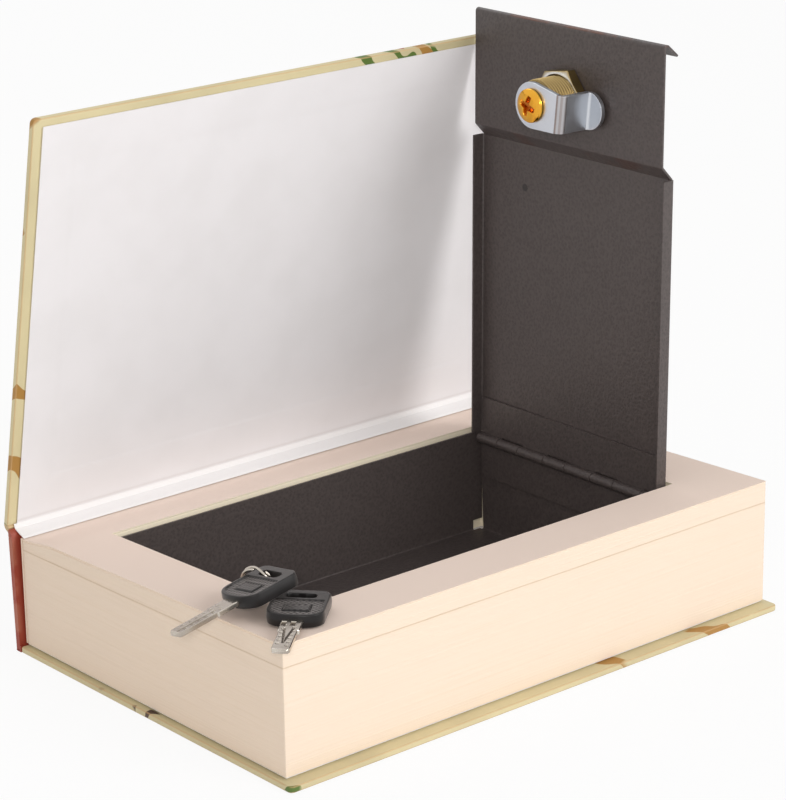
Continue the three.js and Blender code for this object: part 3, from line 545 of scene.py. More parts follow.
# The mean of a few sine waves, each with its own length and heading: between -1 and 1
def ripple(a, b, seed, waves=6, lengths=(20.0, 120.0)):
    rng = np.random.default_rng(seed)
    total = np.zeros(np.broadcast(a, b).shape)
    for _ in range(waves):
        size, heading, phase = rng.uniform(*lengths), rng.uniform(0, np.pi), rng.uniform(0, 2 * np.pi)
        total = total + np.sin(2 * np.pi * (a * np.cos(heading) + b * np.sin(heading)) / size + phase)
    return total / waves


def smoothStep(t):
    t = np.clip(t, 0, 1)
    return t * t * (3 - 2 * t)


# Boards: a rounded plan drawn in by the steps of a section, from the middle of one face to the middle of the other

boards = {
    "halfLength": 120.0,
    "corner": 2.0,
    "jointCorner": 0.7,
    "round": 0.6,
    "thickness": 2.5,
    "back": {"y": (-83.6, 79.4), "z": 0.0},
    "front": {"y": (-165.522, -1.862), "z": 2.378},
    "coverAxis": (0.0, 82.3, 47.0),
    "coverOpening": 78.46,
    "flutter": 0.04,
    "flatReach": 8,  # how far in from its edge a face is drawn in rows
    "counts": (120, 80, 6),
    "arcRows": 5,
}


def boardPoints(y, low, seed):
    thickness, edge = boards["thickness"], boards["round"]
    arc = np.radians(np.linspace(0, 90, boards["arcRows"]))
    lower = joined(edge * (1 - np.sin(arc)), edge * (1 - np.cos(arc)))
    upper = joined(lower[::-1, 0], thickness - lower[::-1, 1])
    flat = [(boards["flatReach"], 0), (edge + 0.3, 0)]  # how far in from the edge, and how high
    section = np.concatenate([flat, lower, upper, [(inset, thickness) for inset, _ in flat[::-1]]])
    mark = np.concatenate([[0, 0], np.sin(2 * arc), np.sin(2 * arc), [0, 0]])
    rows, half = [], boards["halfLength"]
    for inset, height in section:
        radii = [max(boards[corner] - inset, 0.05) for corner in ("corner", "jointCorner", "jointCorner", "corner")]
        line = frameLine((-half + inset, half - inset), (y[0] + inset, y[1] - inset), radii, boards["counts"])
        rows.append(np.column_stack([line, np.full(len(line), low + height)]))
    points = np.array(rows)
    side = (section[:, 0] < edge + 0.2)[:, None]
    points[..., 2] += boards["flutter"] * ripple(points[..., 0], points[..., 1], seed, lengths=(30, 90)) * side
    return points, np.repeat(mark[:, None], points.shape[1], 1)


def openCover(points):  # from the shut cover's own frame to where it stands open
    return points @ turnMatrix("x", -boards["coverOpening"]).T + np.array(boards["coverAxis"])


def makeBoards():
    for side, body, seed in (("back", "book", 3), ("front", "front_cover", 5)):
        points, mark = boardPoints(boards[side]["y"], boards[side]["z"], seed)
        if side == "front":
            points = openCover(points)
        makePiece(side + "Cover", side + "_board", body, "cover_paper", points, marks={"edge": mark})


makeBoards()
print("boards: two covered boards")

# Pastedown: a thin sheet whose open face dips by a step inside the turned-in paper that it covers

pastedown = {
    "x": (-116.0, 116.0),
    "y": (-162.52, -2.162),
    "z": (1.778, 2.078),
    "turnIn": 13.5,  # from the sheet's edge to the step
    "jointTurnIn": 17.0,
    "step": 0.14,
    "slope": 1.3,
    "grid": (230, 200),
    "crowding": 1.6,  # rows lie closer together towards the joint
    "wander": 0.4,
    "waves": 0.025,
    "raised": 0.06,
    "crease": {"from": 1.0, "width": 0.6, "depth": 0.12, "shade": 0.4, "shadeFrom": 1.6},
}


def makePastedown():
    look, crease = pastedown, pastedown["crease"]
    (nx, ny), slope = look["grid"], look["slope"]
    (left, right), (head, joint) = look["x"], look["y"]
    y = head + (joint - head) * (1 - (1 - np.linspace(0, 1, ny)) ** look["crowding"])
    gridX, gridY = np.meshgrid(np.linspace(left, right, nx), y)
    inset = np.minimum(np.minimum(gridX - left, right - gridX), gridY - head)
    inset = inset + look["wander"] * ripple(gridX, gridY, 8, lengths=(40, 160))
    fromJoint = joint - gridY
    field = smoothStep((inset - look["turnIn"]) / slope) * smoothStep((fromJoint - look["jointTurnIn"]) / slope)
    groove = crease["depth"] * bell(fromJoint - crease["from"], crease["width"])
    waves = look["waves"] * ripple(gridX, gridY, 11, lengths=(50, 200)) * smoothStep(inset / 6)
    face = look["z"][0] + look["step"] * field + groove - waves - look["raised"]
    back = np.full(gridX.shape, look["z"][1])
    points = np.stack([joined(gridX, gridY, face), joined(gridX, gridY, back)])
    # A band beside the crease is painted darker, painted shade.
    dentAndShade = crease["shade"] * bell(fromJoint - crease["shadeFrom"], crease["width"])
    marks = {"dentAndShade": np.stack([dentAndShade, 0 * dentAndShade])}
    makePiece("pastedownSheet", "front_pastedown", "front_cover", "endpaper", openCover(points), sheetFaces, marks)


makePastedown()
print("pastedown: made")

# Spine: a section carried along X, capped at both ends

spine = {
    "section": [(81.0, 0.72), (81.3, 0.7), (83.2, 0.7), (83.5, 0.8), (83.6, 1.1), (83.6, 24.0), (83.6, 47.6),
                (83.5, 48.1), (83.2, 48.38), (82.7, 48.2), (81.6, 47.2), (81.0, 46.3), (81.0, 24.0)],
    "foot": [(79.7, 2.5), (79.7, 0.0), (82.15, 0.0), (82.5, 0.08), (82.68, 0.3), (82.68, 0.66), (82.3, 0.66),
             (82.15, 0.4), (80.3, 0.4), (80.3, 2.5)],
    "stations": 120,
    "footStations": 60,
    "halfLength": 120.0,
    "swell": 0.06,
    "inset": 0.06,
    "pinch": (0.12, 0.8),  # by how much and how near its ends the spine is thinner
    "worn": 1.2,  # length of the rub at both ends
    "lean": (0.45, -0.9),  # the top stands out and the foot in by this much
    "height": 48.4,
}


def makeSpine():
    look = spine
    section = np.array(look["section"])
    along = np.linspace(-look["halfLength"], look["halfLength"], look["stations"])[:, None]
    across, up = section[:, 0][None, :], section[:, 1][None, :]
    middle, end = across.mean(), look["halfLength"] - np.abs(along)
    pinch = 1 - look["pinch"][0] * bell(end, look["pinch"][1])
    outward = look["swell"] * ripple(along, up, 21, lengths=(40, 120)) - look["inset"]
    lean = look["lean"][1] + (look["lean"][0] - look["lean"][1]) * up / look["height"]
    y = middle + (across - middle) * pinch + np.where(across > middle, outward, 0) + lean
    points = joined(along, y, up)
    mark = bell(end, look["worn"]) * np.ones(y.shape)
    makePiece("spineCase", "spine_board", "book", "spine_cloth", points, marks={"edge": mark})


def makeBackJoint():  # the cloth runs from the back board's edge under the spine's foot, which stands in a little
    y, z = np.array(spine["foot"]).T
    x = np.linspace(-spine["halfLength"], spine["halfLength"], spine["footStations"])[:, None]
    points = joined(x, y, z)
    marks = {"edge": np.zeros(points.shape[:2])}
    makePiece("backJointCloth", "back_joint", "book", "spine_cloth", points, marks=marks)


makeSpine()
makeBackJoint()
print("spine: made")

# Leaves: a ring of paper round the cavity. A point goes round the plan one way, and up the outside, over the top,
# down the cavity wall and back under the other way.

pages = {
    "outer": {"x": (-117.6, 117.6), "y": (-78.1, 78.1)},
    "cavity": {"x": (-93.2, 90.8), "y": (-54.9, 54.8)},
    "bottom": 3.5,
    "fore": -78.1,
    "shoulder": 55.0,
    "spineSide": 78.1,
    "topHeights": (48.7, 44.6, 42.1),
    "seamHeights": (40.1, 37.7),
    "halfSeam": 0.02,  # half of the gap between the sections
    "seamWave": 0.16,
    "counts": (150, 100, 4),
    "corner": 0.3,
    "leafShift": 0.05,
    "innerShare": 0.5,  # of that shift, on the cavity's wall
    "furthest": 0.12,  # that a leaf stands out
    "cockle": 0.128,
    "rim": 4.0,  # how fast the cockle grows away from an edge
    "glueWidth": 0.22,
    "sections": {  # rows of leaves, seed, and grooves: depth, distance below the top, width
        "lower": (110, 31, [(0.25, 1.25, 0.12)]),
        "upper": (44, 41, [(0.22, 0.75, 0.1), (0.12, 6.3, 0.1)]),
    },
}


def pageTop(y):  # the top falls evenly to the shoulder and then bends down to the spine
    fore, shoulder, low = pages["topHeights"]
    even = (y - pages["fore"]) / (pages["shoulder"] - pages["fore"])
    bend = smoothStep((y - pages["shoulder"]) / (pages["spineSide"] - pages["shoulder"]))
    return np.where(y <= pages["shoulder"], fore + (shoulder - fore) * even, shoulder + (low - shoulder) * bend)


def seam(x, y):
    share = (y - pages["fore"]) / (pages["spineSide"] - pages["fore"])
    even = pages["seamHeights"][0] + (pages["seamHeights"][1] - pages["seamHeights"][0]) * share
    return even + pages["seamWave"] * ripple(x, y, 61, lengths=(25, 90))


def leafRing(name, node, rows, low, high, seed, grooves):
    look = pages
    outer, inner = (frameLine(plan["x"], plan["y"], [look["corner"]] * 4, look["counts"])
                    for plan in (look["outer"], look["cavity"]))
    away = np.roll(outer, -1, 0) - np.roll(outer, 1, 0)
    away = unit(joined(away[:, 1], -away[:, 0]))
    up = np.linspace(0, 1, rows)
    over = np.concatenate([[0.004], np.linspace(0, 1, 16)[1:-1], [0.996]])
    # across the paper, up it, whether on a wall, and whether on the cavity's
    section = np.concatenate([joined(0, up, 1, 0), joined(over, 1, 0, 0),
                              joined(1, up[::-1], 1, 1), joined(over[::-1], 0, 0, 0)])
    across, height, wall, inside = (section[:, i][:, None] for i in range(4))
    plan = outer[None] + (inner - outer)[None] * across[..., None]
    x, y = plan[..., 0], plan[..., 1]
    bottom, top = look["bottom"] + low(x, y), look["bottom"] + high(x, y)
    z = bottom + (top - bottom) * height
    shift, flat = np.random.default_rng(seed).normal(0, 1, rows), np.zeros(len(over))
    shift = np.concatenate([shift, flat, shift[::-1] * look["innerShare"], flat])[:, None]
    along = np.cumsum(np.linalg.norm(np.diff(outer, axis=0, append=outer[:1]), axis=1))[None]
    moved = look["leafShift"] * shift * (0.6 + 0.4 * ripple(along, z * 40, seed + 1, lengths=(30, 90)))
    for depth, at, width in grooves:
        moved = moved - depth * bell(top - z - at, width)
    outward = np.minimum(np.where(inside > 0.5, -1, 1) * moved * wall, look["furthest"])
    x, y = x + away[None, :, 0] * outward, y + away[None, :, 1] * outward
    rim = np.minimum(across, 1 - across) * look["rim"]
    z = z + look["cockle"] * ripple(x, y, seed + 2, lengths=(35, 150)) * (height > 0.5) * smoothStep(rim)
    glued = bell(z - look["bottom"] - seam(x, y), look["glueWidth"])
    glued = glued * (0.75 + 0.25 * ripple(x, y, seed + 3, lengths=(10, 50))) * wall
    marks = {"face": np.broadcast_to(1 - wall, x.shape), "inside": np.broadcast_to(inside, x.shape), "glue": glued}
    makePiece(name, node, "book", "page_paper", joined(x, y, z), ringFaces, marks, smooth=50)


def makePages():
    half = pages["halfSeam"]
    edges = {
        "lower": (lambda x, y: 0 * y, lambda x, y: seam(x, y) - half),
        "upper": (lambda x, y: seam(x, y) + half, lambda x, y: pageTop(y)),
    }
    for word, (rows, seed, grooves) in pages["sections"].items():
        leafRing(word + "Leaves", word + "_pages", rows, *edges[word], seed, grooves)


makePages()
print("pages: two rings of leaves")

# Steel work: finer copies of the solids

steel = {
    "lipFold": 220.6,
    "joggle": (170.6, 175.5),
    "dimple": {"at": (27.0, 153.0), "radius": 1.5},
    "pieces": [
        ("cashBox", "steel_box", "book", 0.12, 0.4),
        ("boxLeaf", "hinge_fixed_leaf", "book", 0.08, 0.3),
        ("lidLeaf", "hinge_moving_leaf", "lid", 0.08, 0.3),
    ],
}


def lidWearAndPaintedLight(at, rounded):  # the lip's fold is rubbed to bare metal; the joggle band takes that worn colour too, painted light on a face turned down into shade; the dimple is painted darker, painted shade
    (y, z), radius = steel["dimple"]["at"], steel["dimple"]["radius"]
    low, high = steel["joggle"]
    rubbed = 0.95 if at.z > steel["lipFold"] else 0.5 if low < at.z < high and not rounded else 0.35 * rounded
    return rubbed, float(math.hypot(at.y - y, at.z - z) < radius)


def partWear(share):
    return lambda at, rounded: (share * rounded, 0.0)


for name, node, body, width, share in steel["pieces"]:
    softened(name, node, body, "painted_steel", width, partWear(share))
softened("lidSheet", "lid_panel", "lid", "painted_steel", 0.14, lidWearAndPaintedLight)
print("steel: box, lid and two hinge leaves")

# Lock body: a profile turned about X, with a thread that runs round it

lock = {
    "hinge": (85.9, -0.75, 44.8),
    "lean": 0.84,
    "at": (-2.7, 0.0, 148.7),
    "end": -15.5,
    "sheet": 1.1,
    "headFace": 3.0,
    "headRadius": 11.0,
    "radius": 9.5,
    "bore": 6.6,
    "edge": 0.6,
    "pitch": 1.27,
    "threadDepth": 0.62,
    "crest": 0.12,  # the thread's flat crest and root, as a share of its slope
    "rows": 150,
    "sides": 128,
}


def lidPlace(points):  # from the lid's own frame to where it stands open
    return points @ turnMatrix("y", lock["lean"]).T + np.array(lock["hinge"])


def turnedGrid(along, radius, angle):  # rows of points round X, from along and radius for every row and angle
    return joined(along, radius * np.cos(angle), radius * np.sin(angle)) + np.array(lock["at"])


def makeLockBody():
    end, sheet, face, edge = (lock[label] for label in ("end", "sheet", "headFace", "edge"))
    bore, barrel, head = (lock[label] for label in ("bore", "radius", "headRadius"))
    profile = [(end, bore, 0), (end, barrel - edge - 0.2, 0), (end + 0.25, barrel - 0.35, 0)]
    profile += [(a, barrel, 1) for a in np.linspace(end + edge, sheet - 0.2, lock["rows"])]
    profile += [(sheet, barrel, 0), (sheet, head, 0), (face - edge, head, 0), (face - 0.2, head - 0.2, 0),
                (face, head - edge, 0), (face, bore, 0)]
    angle = circle(lock["sides"])[None]
    along, radius, cut = (column[:, None] for column in np.array(profile).T)
    phase = (along / lock["pitch"] - angle / (2 * np.pi)) % 1
    valley = np.clip((np.abs(2 * phase - 1) - lock["crest"]) / (1 - 2 * lock["crest"]), 0, 1)
    radius = radius - lock["threadDepth"] * cut * valley
    points = lidPlace(turnedGrid(along + 0 * angle, radius, angle))
    # The thread's valleys are painted darker, painted shade; its crests take the worn-edge colour, partly wear and
    # partly painted highlight.
    marks = {"edge": 0.9 * cut * (1 - valley), "paintedShade": 0.85 * cut * valley ** 2}
    makePiece("threadedBody", "lock_body", "lid", "passivated_zinc", points, ringFaces, marks, smooth=40)


makeLockBody()

nut = {
    "span": (-4.8, -0.3),
    "flat": 11.1,
    "hole": 9.8,
    "turn": -8.7,
    "chamferStart": 0.3,
    "slope": 0.4585,
    "edge": 0.12,
    "corner": 0.8,  # degrees that a rounded corner takes on either side
}


def makeNut():  # for every angle the hexagon's radius, cut by the cone of the chamfer
    (low, high), flat, soft, edge = nut["span"], nut["flat"], nut["corner"], nut["edge"]
    corner = np.arange(6) * 60.0 + nut["turn"]
    degrees = np.sort(np.concatenate([np.arange(0, 360, 3.0), corner, corner - soft, corner + soft]) % 360)
    fromFlat = (degrees - nut["turn"]) % 60 - 30
    outer = np.minimum(flat / np.cos(np.radians(fromFlat)), flat / math.cos(math.radians(30 - soft)))
    start, hole = flat - nut["chamferStart"], nut["hole"]
    cone = low + (outer - start) * nut["slope"]
    rows = [(hole, low + 0.35, 0), (hole + 0.35, low, 1), (start - 0.1, low, 1),
            (start + 0.3 * (outer - start), low + 0.3 * (cone - low), 0.5), (outer - edge, cone - 0.02, 0),
            (outer, cone + edge, 0), (outer, high - 0.1, 0), (outer - 0.1, high, 0), (hole, high, 0)]
    radius, along, pale = (np.array([row[i] + 0 * degrees for row in rows]) for i in range(3))
    points = lidPlace(turnedGrid(along, radius, np.radians(degrees)[None]))
    marks = {"pale": pale}
    flatFirst(makePiece("hexNut", "lock_nut", "lid", "passivated_zinc", points, ringFaces, marks, smooth=25))


makeNut()

screw = {
    "seat": -18.2,  # the head's underside
    "height": 2.5,
    "rim": 1.0,
    "radius": 6.5,
    "shank": (1.9, 7.0),
    "crown": 2.4,  # how late the dome falls off towards its rim
    "recessRows": (0.12, 4.4, 44),
    "domeRows": (4.5, 6.25, 14),
    "sides": 240,
    "turn": 13.0,
    "overturn": 6.0,  # degrees that cam and screw stand past the quarter turn
    "recess": {"half": 0.7, "length": 4.1, "depth": 1.9, "slope": 0.5},
}


def makeScrew():  # a dome with a cross sunk in it, and a plain shank
    look, cross = screw, screw["recess"]
    seat, whole, (shank, reach) = look["seat"], look["radius"], look["shank"]
    angle = circle(look["sides"])[None]
    radius = np.concatenate([[0.02], np.linspace(*look["recessRows"]), np.linspace(*look["domeRows"])])[:, None]
    dome = seat - look["height"] + (look["height"] - look["rim"]) * (radius / whole) ** look["crown"] + 0 * angle
    u, v = radius * np.cos(angle), radius * np.sin(angle)

    def arm(a, b):  # depth of one bar of the cross: a runs along it, b across it
        wide = np.clip((cross["half"] * (1.25 - 0.12 * np.abs(a)) - np.abs(b)) / cross["slope"] + 1, 0, 1)
        return wide * np.clip((cross["length"] - np.abs(a)) / (1.6 * cross["slope"]), 0, 1)

    sunk = cross["depth"] * np.maximum(arm(u, v), arm(v, u)) * (1 - 0.08 * radius)
    tail = [(whole - 0.06, seat - look["rim"] + 0.1), (whole, seat - look["rim"] + 0.35), (whole, seat - 0.15),
            (whole - 0.15, seat), (shank, seat), (shank, seat + reach), (0.02, seat + reach)]
    along = np.concatenate([dome + np.maximum(sunk, 0)] + [np.full(angle.shape, a) for _, a in tail])
    radius = np.concatenate([radius + 0 * angle] + [np.full(angle.shape, r) for r, _ in tail])
    points = lidPlace(turnedGrid(along, radius, angle + math.radians(look["turn"] + look["overturn"])))
    depth = np.concatenate([np.clip(sunk / cross["depth"], 0, 1), np.zeros((len(tail), look["sides"]))])
    # The cross's recess is painted darker, painted shade.
    marks = {"paintedShade": 0.9 * depth ** 0.7}
    makePiece("screwHead", "cam_screw", "lock_plug", "gold_screw", points, marks=marks, smooth=35)


makeScrew()

# reflectionBands: how strongly each strip of the first fold is painted brown, painted reflection.
cam = {"fold": (-14.9, -12.9), "reach": 3.4, "step": 18.0, "reflectionBands": (0.8, 0.45, 0.7, 0.5, 0.6)}


def camWearAndReflections(at, rounded):  # brown bands painted down the first fold, one strip beside another, painted reflection; the web is painted a little darker, painted shade
    x, y, z = (np.array(at) - lock["hinge"]) @ turnMatrix("y", lock["lean"]) - lock["at"]
    turn = math.radians(screw["overturn"])
    across = y * math.cos(turn) + z * math.sin(turn)
    fromFold = (x - cam["fold"][0], across - cam["fold"][1])
    strip = math.degrees(math.atan2(-fromFold[1], -fromFold[0])) / cam["step"]
    inBands = 0 <= strip < len(cam["reflectionBands"]) and math.hypot(*fromFold) < cam["reach"]
    return 0.8 * rounded, cam["reflectionBands"][int(strip)] if inBands else 0.16 * (across < cam["fold"][1])


softened("camArm", "lock_cam", "lock_plug", "bright_zinc", 0.22, camWearAndReflections)
print("lock: threaded body, nut, screw and cam")

# Split ring: a round wire carried along two close turns

ring = {
    "at": (-97.79, -39.81, 58.0),
    "heading": 21.0,
    "tilt": 72.5,
    "radius": 5.95,
    "wire": 0.5,
    "turnGap": 0.45,
    "turns": 1.9,
    "step": 0.1,  # share of its length in which the wire passes to the other turn
    "endShare": 0.7,
    "stations": 260,
    "sides": 14,
}


def makeRing():
    look = ring
    share = np.linspace(0, 1, look["stations"])
    angle = look["turns"] * 2 * np.pi * share
    side = (2 * look["wire"] + look["turnGap"]) * (smoothStep((share - 0.5) / look["step"] + 0.5) - 0.5)
    line = joined(-look["radius"] * np.cos(angle), look["radius"] * np.sin(angle), side)
    outward = unit(line * (1, 1, 0))
    across = np.cross(unit(np.gradient(line, axis=0)), outward)
    turn = circle(look["sides"])[None, :, None]
    wire = np.full((look["stations"], 1, 1), look["wire"])
    wire[[0, -1]] *= look["endShare"]
    points = line[:, None] + wire * (outward[:, None] * np.cos(turn) + across[:, None] * np.sin(turn))
    spun = points @ (turnMatrix("z", look["heading"]) @ turnMatrix("y", look["tilt"])).T + np.array(look["at"])
    makePiece("splitRing", "key_ring", "keys", "key_metal", spun, smooth=60)


makeRing()
print("ring: made")

# Keys: the bow is a ring of plastic round its slot, and the blade a flat bar with milled faces

keys = {
    "One": {"at": (-114.04, -47.3, 55.0), "heading": 181.6, "pitch": 10.3, "roll": 9.9, "turned": False},
    "Two": {"at": (-106.55, -69.93, 52.5), "heading": 221.7, "pitch": 0.0, "roll": 0.0, "turned": True},
}
bow = {
    "length": 23.0,
    "side": 10.0,
    "thickness": 4.8,
    "front": 6.5,
    "square": 0.82,  # below 1 the front is fuller than an ellipse
    "corner": 3.4,
    "slot": {"x": -18.0, "length": 11.0, "width": 3.8},
    "angles": 360,
    "across": 74,
    "edge": 0.55,
    "slotEdge": 0.25,
    "belly": 0.22,
    "bellyRows": (0.2, 0.4, 0.46, 0.5, 0.54, 0.6, 0.8),
    "rim": 1.5,
    "recess": 0.65,
    "soft": 0.35,  # width of the field's edge and of the groove
    "slotRim": (1.3, 0.4),  # where the field begins beside the slot, and over what width
    "panel": {"x": -8.2, "size": (5.2, 9.4), "rise": 0.3, "soft": 0.3, "groove": 0.5},
}
blade = {
    "length": 26.0,
    "root": -6.5,
    "half": 3.75,
    "low": 1.5,
    "high": 3.3,
    "step": {"x": 8.5, "by": 0.6},
    "tip": 2.6,
    "round": {"side": (0.25, 0.3), "end": (0.5, 1.2)},  # how deep an edge is rounded, and how far in
    "grid": (300, 72),
    "paintedShadeDepth": 0.4,
    "pits": {"rows": (-1.75, 1.75), "pitch": 3.1, "from": 5.0, "radius": 0.75, "depth": 0.45},
    "channel": {"from": 8.0, "to": 24.6, "y": 0.55, "half": 0.75, "depth": 0.45},
    "pockets": {"x": (1.6, 5.2), "y": (-2.5, 0.7), "half": 0.75, "depth": 0.5},
    "groove": {"from": 7.0, "to": 20.0, "spread": 1.6, "width": 0.45, "depth": 0.4},
}


def bowOutline():  # a half ellipse in front, straight sides, and round corners at the rear
    side, rear, corner, front, square = (bow[label] for label in ("side", "length", "corner", "front", "square"))
    turn, arc = np.linspace(-np.pi / 2, np.pi / 2, 60), np.linspace(0, np.pi / 2, 12)
    away = side * np.sign(turn) * np.abs(np.sin(turn)) ** square
    nose = joined(-front + front * np.cos(turn) ** square, away)
    left = joined(-rear + corner - corner * np.sin(arc), side - corner + corner * np.cos(arc))
    return np.concatenate([nose, left, left[::-1] * (1, -1)])


def castFrom(centre, outline, angle):  # where rays from a point inside meet a closed outline
    rel = outline - centre
    turn = np.arctan2(rel[:, 1], rel[:, 0])
    order = np.argsort(turn % (2 * np.pi))
    rel, turn = rel[order], (turn % (2 * np.pi))[order]
    starts = (np.searchsorted(turn, angle % (2 * np.pi)) - 1) % len(rel)
    a, edge = rel[starts], rel[(starts + 1) % len(rel)] - rel[starts]
    ray = joined(np.cos(angle), np.sin(angle))
    reach = (a[:, 0] * edge[:, 1] - a[:, 1] * edge[:, 0]) / (ray[:, 0] * edge[:, 1] - ray[:, 1] * edge[:, 0])
    return centre + ray * reach[:, None]


def inside(value, low, high, soft):  # 1 between two limits, with soft sides
    return smoothStep((value - low) / soft + 0.5) * smoothStep((high - value) / soft + 0.5)


def bowFace(x, y, rimDistance):  # how far the face lies below its rim, and where ribs and grooves run
    panel, slot, (rim, rise) = bow["panel"], bow["slot"], bow["slotRim"]
    px, py = np.abs(x - panel["x"]) - panel["size"][0] / 2, np.abs(y) - panel["size"][1] / 2
    away = np.maximum(px, py)
    onPanel = smoothStep(-away / panel["soft"] + 0.5)
    groove = bell(away, bow["soft"])
    nearSlot = smoothStep((x - slot["x"] - slot["width"] / 2 - rim) / rise)
    field = smoothStep((rimDistance - bow["rim"]) / bow["soft"] + 0.5) * nearSlot
    dip = bow["recess"] - panel["rise"] * onPanel + panel["groove"] * groove
    return field * dip, field * (1 - 0.6 * onPanel), field * groove


def makeBow(name, node, put):
    slot, edge, thick, lip = bow["slot"], bow["edge"], bow["thickness"], bow["slotEdge"]
    centre = np.array([slot["x"], 0.0])
    angle = circle(bow["angles"]) + 1e-4
    border = bowOutline()
    outer = castFrom(centre, border, angle)
    arc, radius = np.linspace(-np.pi / 2, np.pi / 2, 30), slot["width"] / 2
    cap = joined(radius * np.sin(arc), slot["length"] / 2 - radius + radius * np.cos(arc))
    inner = castFrom(centre, centre + np.concatenate([cap, -cap]), angle)
    ray = unit(outer - inner)
    bend = np.linspace(0, np.pi / 2, 6)
    wall = [(-edge * (1 - math.sin(b)), edge * (1 - math.cos(b))) for b in bend]
    wall += [(bow["belly"] * math.sin(math.pi * t), edge + (thick - 2 * edge) * t) for t in bow["bellyRows"]]
    wall += [(-edge * (1 - math.cos(b)), thick - edge + edge * math.sin(b)) for b in bend]
    rows = [(outer + ray * out, np.full(len(angle), z)) for out, z in wall]
    share = np.linspace(0, 1, bow["across"])[:, None, None]
    start, stop = outer - ray * edge, inner + ray * lip
    face = start[None] + (stop - start)[None] * share
    gap = np.min(np.linalg.norm(face[:, :, None, :] - border[None, None, ::2], axis=-1), axis=2)
    rimDistance = np.minimum(np.linalg.norm(face - outer[None], axis=-1), gap)
    dip, ribbed, groove = bowFace(face[..., 0], face[..., 1], rimDistance)
    plain = np.zeros((len(rows), len(angle)))
    rows += [(face[k], thick - dip[k]) for k in range(1, len(share))]
    rows += [(inner, np.full(len(angle), z)) for z in (thick - lip, lip)]
    rows += [(face[k], dip[k]) for k in range(len(share) - 1, 0, -1)]
    points = np.array([np.column_stack([plan, z]) for plan, z in rows])
    # The groove round the panel is painted near black, painted shade; ribbed gives where the ribs run.
    marks = {label: np.concatenate([plain, mark[1:], plain[:2], mark[:0:-1]])
             for label, mark in (("ribbed", ribbed), ("paintedShade", groove))}
    makePiece(name, node, "keys", "black_plastic", put(points), ringFaces, marks, smooth=40)


def bladeDip(x, y, pocketed):  # how far the milled face lies below the bar's flat
    pits, pockets, groove, long = (blade[label] for label in ("pits", "pockets", "groove", "channel"))
    sides = np.clip(1 - np.abs(y - long["y"]) / long["half"], 0, 1) ** 0.6
    dip = long["depth"] * inside(x, long["from"], long["to"], 0.8) * sides * (not pocketed)
    for i, row in enumerate(pits["rows"]):
        first = pits["from"] + i * pits["pitch"] / 2
        at = first + np.round((x - first) / pits["pitch"]) * pits["pitch"]
        live = (at >= first - 0.1) & (at < blade["length"] - 2.5)
        hollow = np.clip(1 - np.hypot(x - at, y - row) / pits["radius"], 0, 1) ** 0.7
        dip = np.maximum(dip, np.where(live, pits["depth"] * hollow, 0))
    if pocketed:
        for middle in pockets["y"]:
            width = inside(y, middle - pockets["half"], middle + pockets["half"], 0.3)
            dip = np.maximum(dip, pockets["depth"] * inside(x, *pockets["x"], 0.3) * width)
        run = np.clip((x - groove["from"]) / (groove["to"] - groove["from"]), 0, 1)
        line = np.abs(np.abs(y) - groove["spread"] * (1 - run))
        live = inside(x, groove["from"], groove["to"], 0.6)
        dip = np.maximum(dip, groove["depth"] * live * np.clip(1 - line / groove["width"], 0, 1))
    return dip


def makeBlade(name, node, put, turned):
    nx, ny = blade["grid"]
    x = np.linspace(blade["root"], blade["length"], nx)[None, :]
    across = np.linspace(-1, 1, ny)[:, None]
    across = np.sign(across) * np.abs(across) ** 0.9
    fromTip = np.clip((blade["length"] - x) / blade["tip"], 0, 1)
    half = blade["half"] * (0.45 + 0.55 * np.sqrt(1 - (1 - fromTip) ** 2))
    y = across * (half - blade["step"]["by"] * smoothStep((x - blade["step"]["x"]) / 0.5))
    x = x + 0 * y
    inward = {"side": (1 - np.abs(across)) * blade["half"], "end": blade["length"] - x}
    rounding = sum(deep * (1 - smoothStep(inward[edge] / wide)) for edge, (deep, wide) in blade["round"].items())
    dips = np.array([bladeDip(x, y, turned), bladeDip(x, y, not turned)])
    top, bottom = blade["high"] - dips[0] - rounding, blade["low"] + dips[1] + rounding
    # The milled pits, pockets, channel and groove are painted darker by their depth, painted shade.
    marks = {"paintedShade": 0.75 * smoothStep(dips / blade["paintedShadeDepth"])}
    points = np.stack([joined(x, y, top), joined(x, y, bottom)])
    makePiece(name, node, "keys", "key_metal", put(points), sheetFaces, marks, smooth=40)


def makeKeys():
    for number, (word, look) in enumerate(keys.items(), 1):
        turn = turnMatrix("z", look["heading"]) @ turnMatrix("y", look["pitch"]) @ turnMatrix("x", look["roll"])

        def put(points, turn=turn, look=look):  # from the key's own frame to where it lies
            return points @ turn.T + np.array(look["at"])

        makeBow(f"key{word}Bow", f"key_{number}_bow", put)
        makeBlade(f"key{word}Blade", f"key_{number}_blade", put, look["turned"])


makeKeys()
print("keys: two bows and two blades")

# Joint papers: a bent sheet carried along X, drawn as it lies with the cover open, and joined to neither the book
# nor the cover.

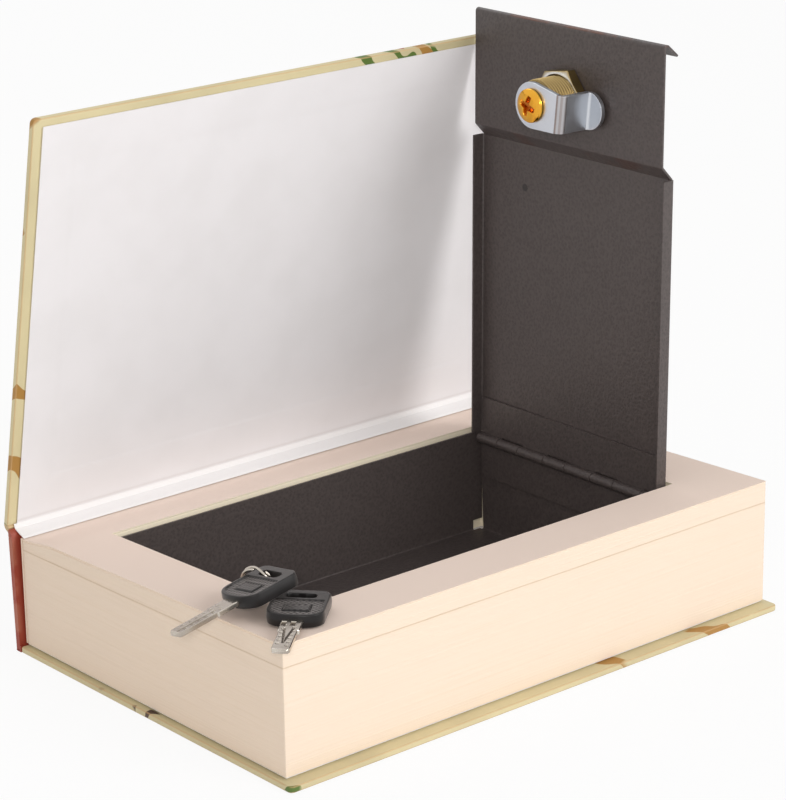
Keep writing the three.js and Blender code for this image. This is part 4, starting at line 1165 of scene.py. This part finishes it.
joints = {  # easing is the count of points and of passes, and where a bend starts and ends is in metres
    "endpaper": {
        "path": [(77.15, 45.98), (78.2, 46.45), (79.4, 46.88), (80.5, 47.28), (81.5, 47.65), (82.3, 48.0),
                 (82.9, 48.35), (83.25, 48.75), (83.45, 49.3), (83.56, 50.0)],
        "easing": (50, 6),
        "half": 117.4, "start": (0, 0.0833, 0.0489), "end": (0, 0.08354, 0.0499),
    },
    "cover": {
        "outline": [(84.15, 46.5), (84.4, 47.0), (84.9, 47.35), (85.6, 47.65), (86.1, 48.0), (86.4, 48.5),
                    (86.6, 49.0), (86.72, 49.7), (86.74, 50.2), (85.6, 50.0), (84.5, 49.75), (84.0, 49.3),
                    (83.75, 48.95), (83.75, 48.62), (84.08, 48.25), (84.1, 47.4), (84.1, 46.5)],
        "easing": (60, 3),
        "half": 119.7, "start": (0, 0.08433, 0.04582), "end": (0, 0.08475, 0.04989),
    },
    "thickness": 0.36,
    "taper": (0.12, 3.0),  # the sheet's share of that at its edges, and how fast it grows
    "groove": {"share": 0.62, "width": 0.05, "depth": 0.16},  # a soft line pressed along the endpaper's fold
    "tailEnd": 47.2,  # below it the cover's fold has the spine's colour
    "stations": 160,
    "flutter": 0.07,
    "sideways": 0.3,  # of the flutter
}


def evenPath(path, count, passes):  # more points along a path, its corners eased by averaging neighbours
    fine = np.linspace(0, len(path) - 1, count)
    path = np.stack([np.interp(fine, np.arange(len(path)), path[:, i]) for i in range(2)], -1)
    for _ in range(passes):
        path[1:-1] = (path[:-2] + 2 * path[1:-1] + path[2:]) / 4
    return path


def sheetSection(path):  # round both faces of a sheet that follows a path
    groove, share = joints["groove"], np.linspace(0, 1, len(path))
    ahead = np.gradient(path, axis=0)
    normal = unit(joined(-ahead[:, 1], ahead[:, 0]))
    dentAndShade = groove["depth"] * bell(share - groove["share"], groove["width"])[:, None]
    thin, growth = joints["taper"]
    half = joints["thickness"] / 2 * np.minimum(1, thin + growth * np.sin(np.pi * share))[:, None]
    return np.concatenate([path + (half - dentAndShade) * normal, (path - (half + dentAndShade) * normal)[::-1]])


def makeJoint(name, node, look, slotName, seed):
    if "path" in look:
        section = sheetSection(evenPath(np.array(look["path"]), *look["easing"]))
    else:
        section = evenPath(np.array(look["outline"]), *look["easing"])
    x = np.linspace(-look["half"], look["half"], joints["stations"])[:, None]
    lift = joints["flutter"] * ripple(x, section[None, :, 1] * 0, seed, lengths=(40, 140))
    y, z = section[None, :, 0] + lift * joints["sideways"], section[None, :, 1] + lift
    tail = np.broadcast_to(section[None, :, 1] < joints["tailEnd"], z.shape)
    # On the endpaper, fold paints the strip lighter, painted light.
    marks = {"plain": np.ones(z.shape), "edge": np.ones(z.shape), "fold": np.ones(z.shape), "tail": tail}
    points = joined(x, y, z)
    piece = makePiece(name, node, None, slotName, points, marks=marks, smooth=50)
    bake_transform(piece)


makeJoint("endpaperFold", "endpaper_joint", joints["endpaper"], "endpaper", 51)
makeJoint("coverFold", "cover_joint", joints["cover"], "cover_paper", 52)
print("joints: two bending papers")

# The CAD solids that stay get their finish
record = {part["node"]: part["material_slot"] for part in frame["record"]["subparts"]}
for node, obj in frame["nodes"].items():
    obj.data.materials.clear()
    obj.data.materials.append(paints[record[node]])
print("CAD nodes: finished")
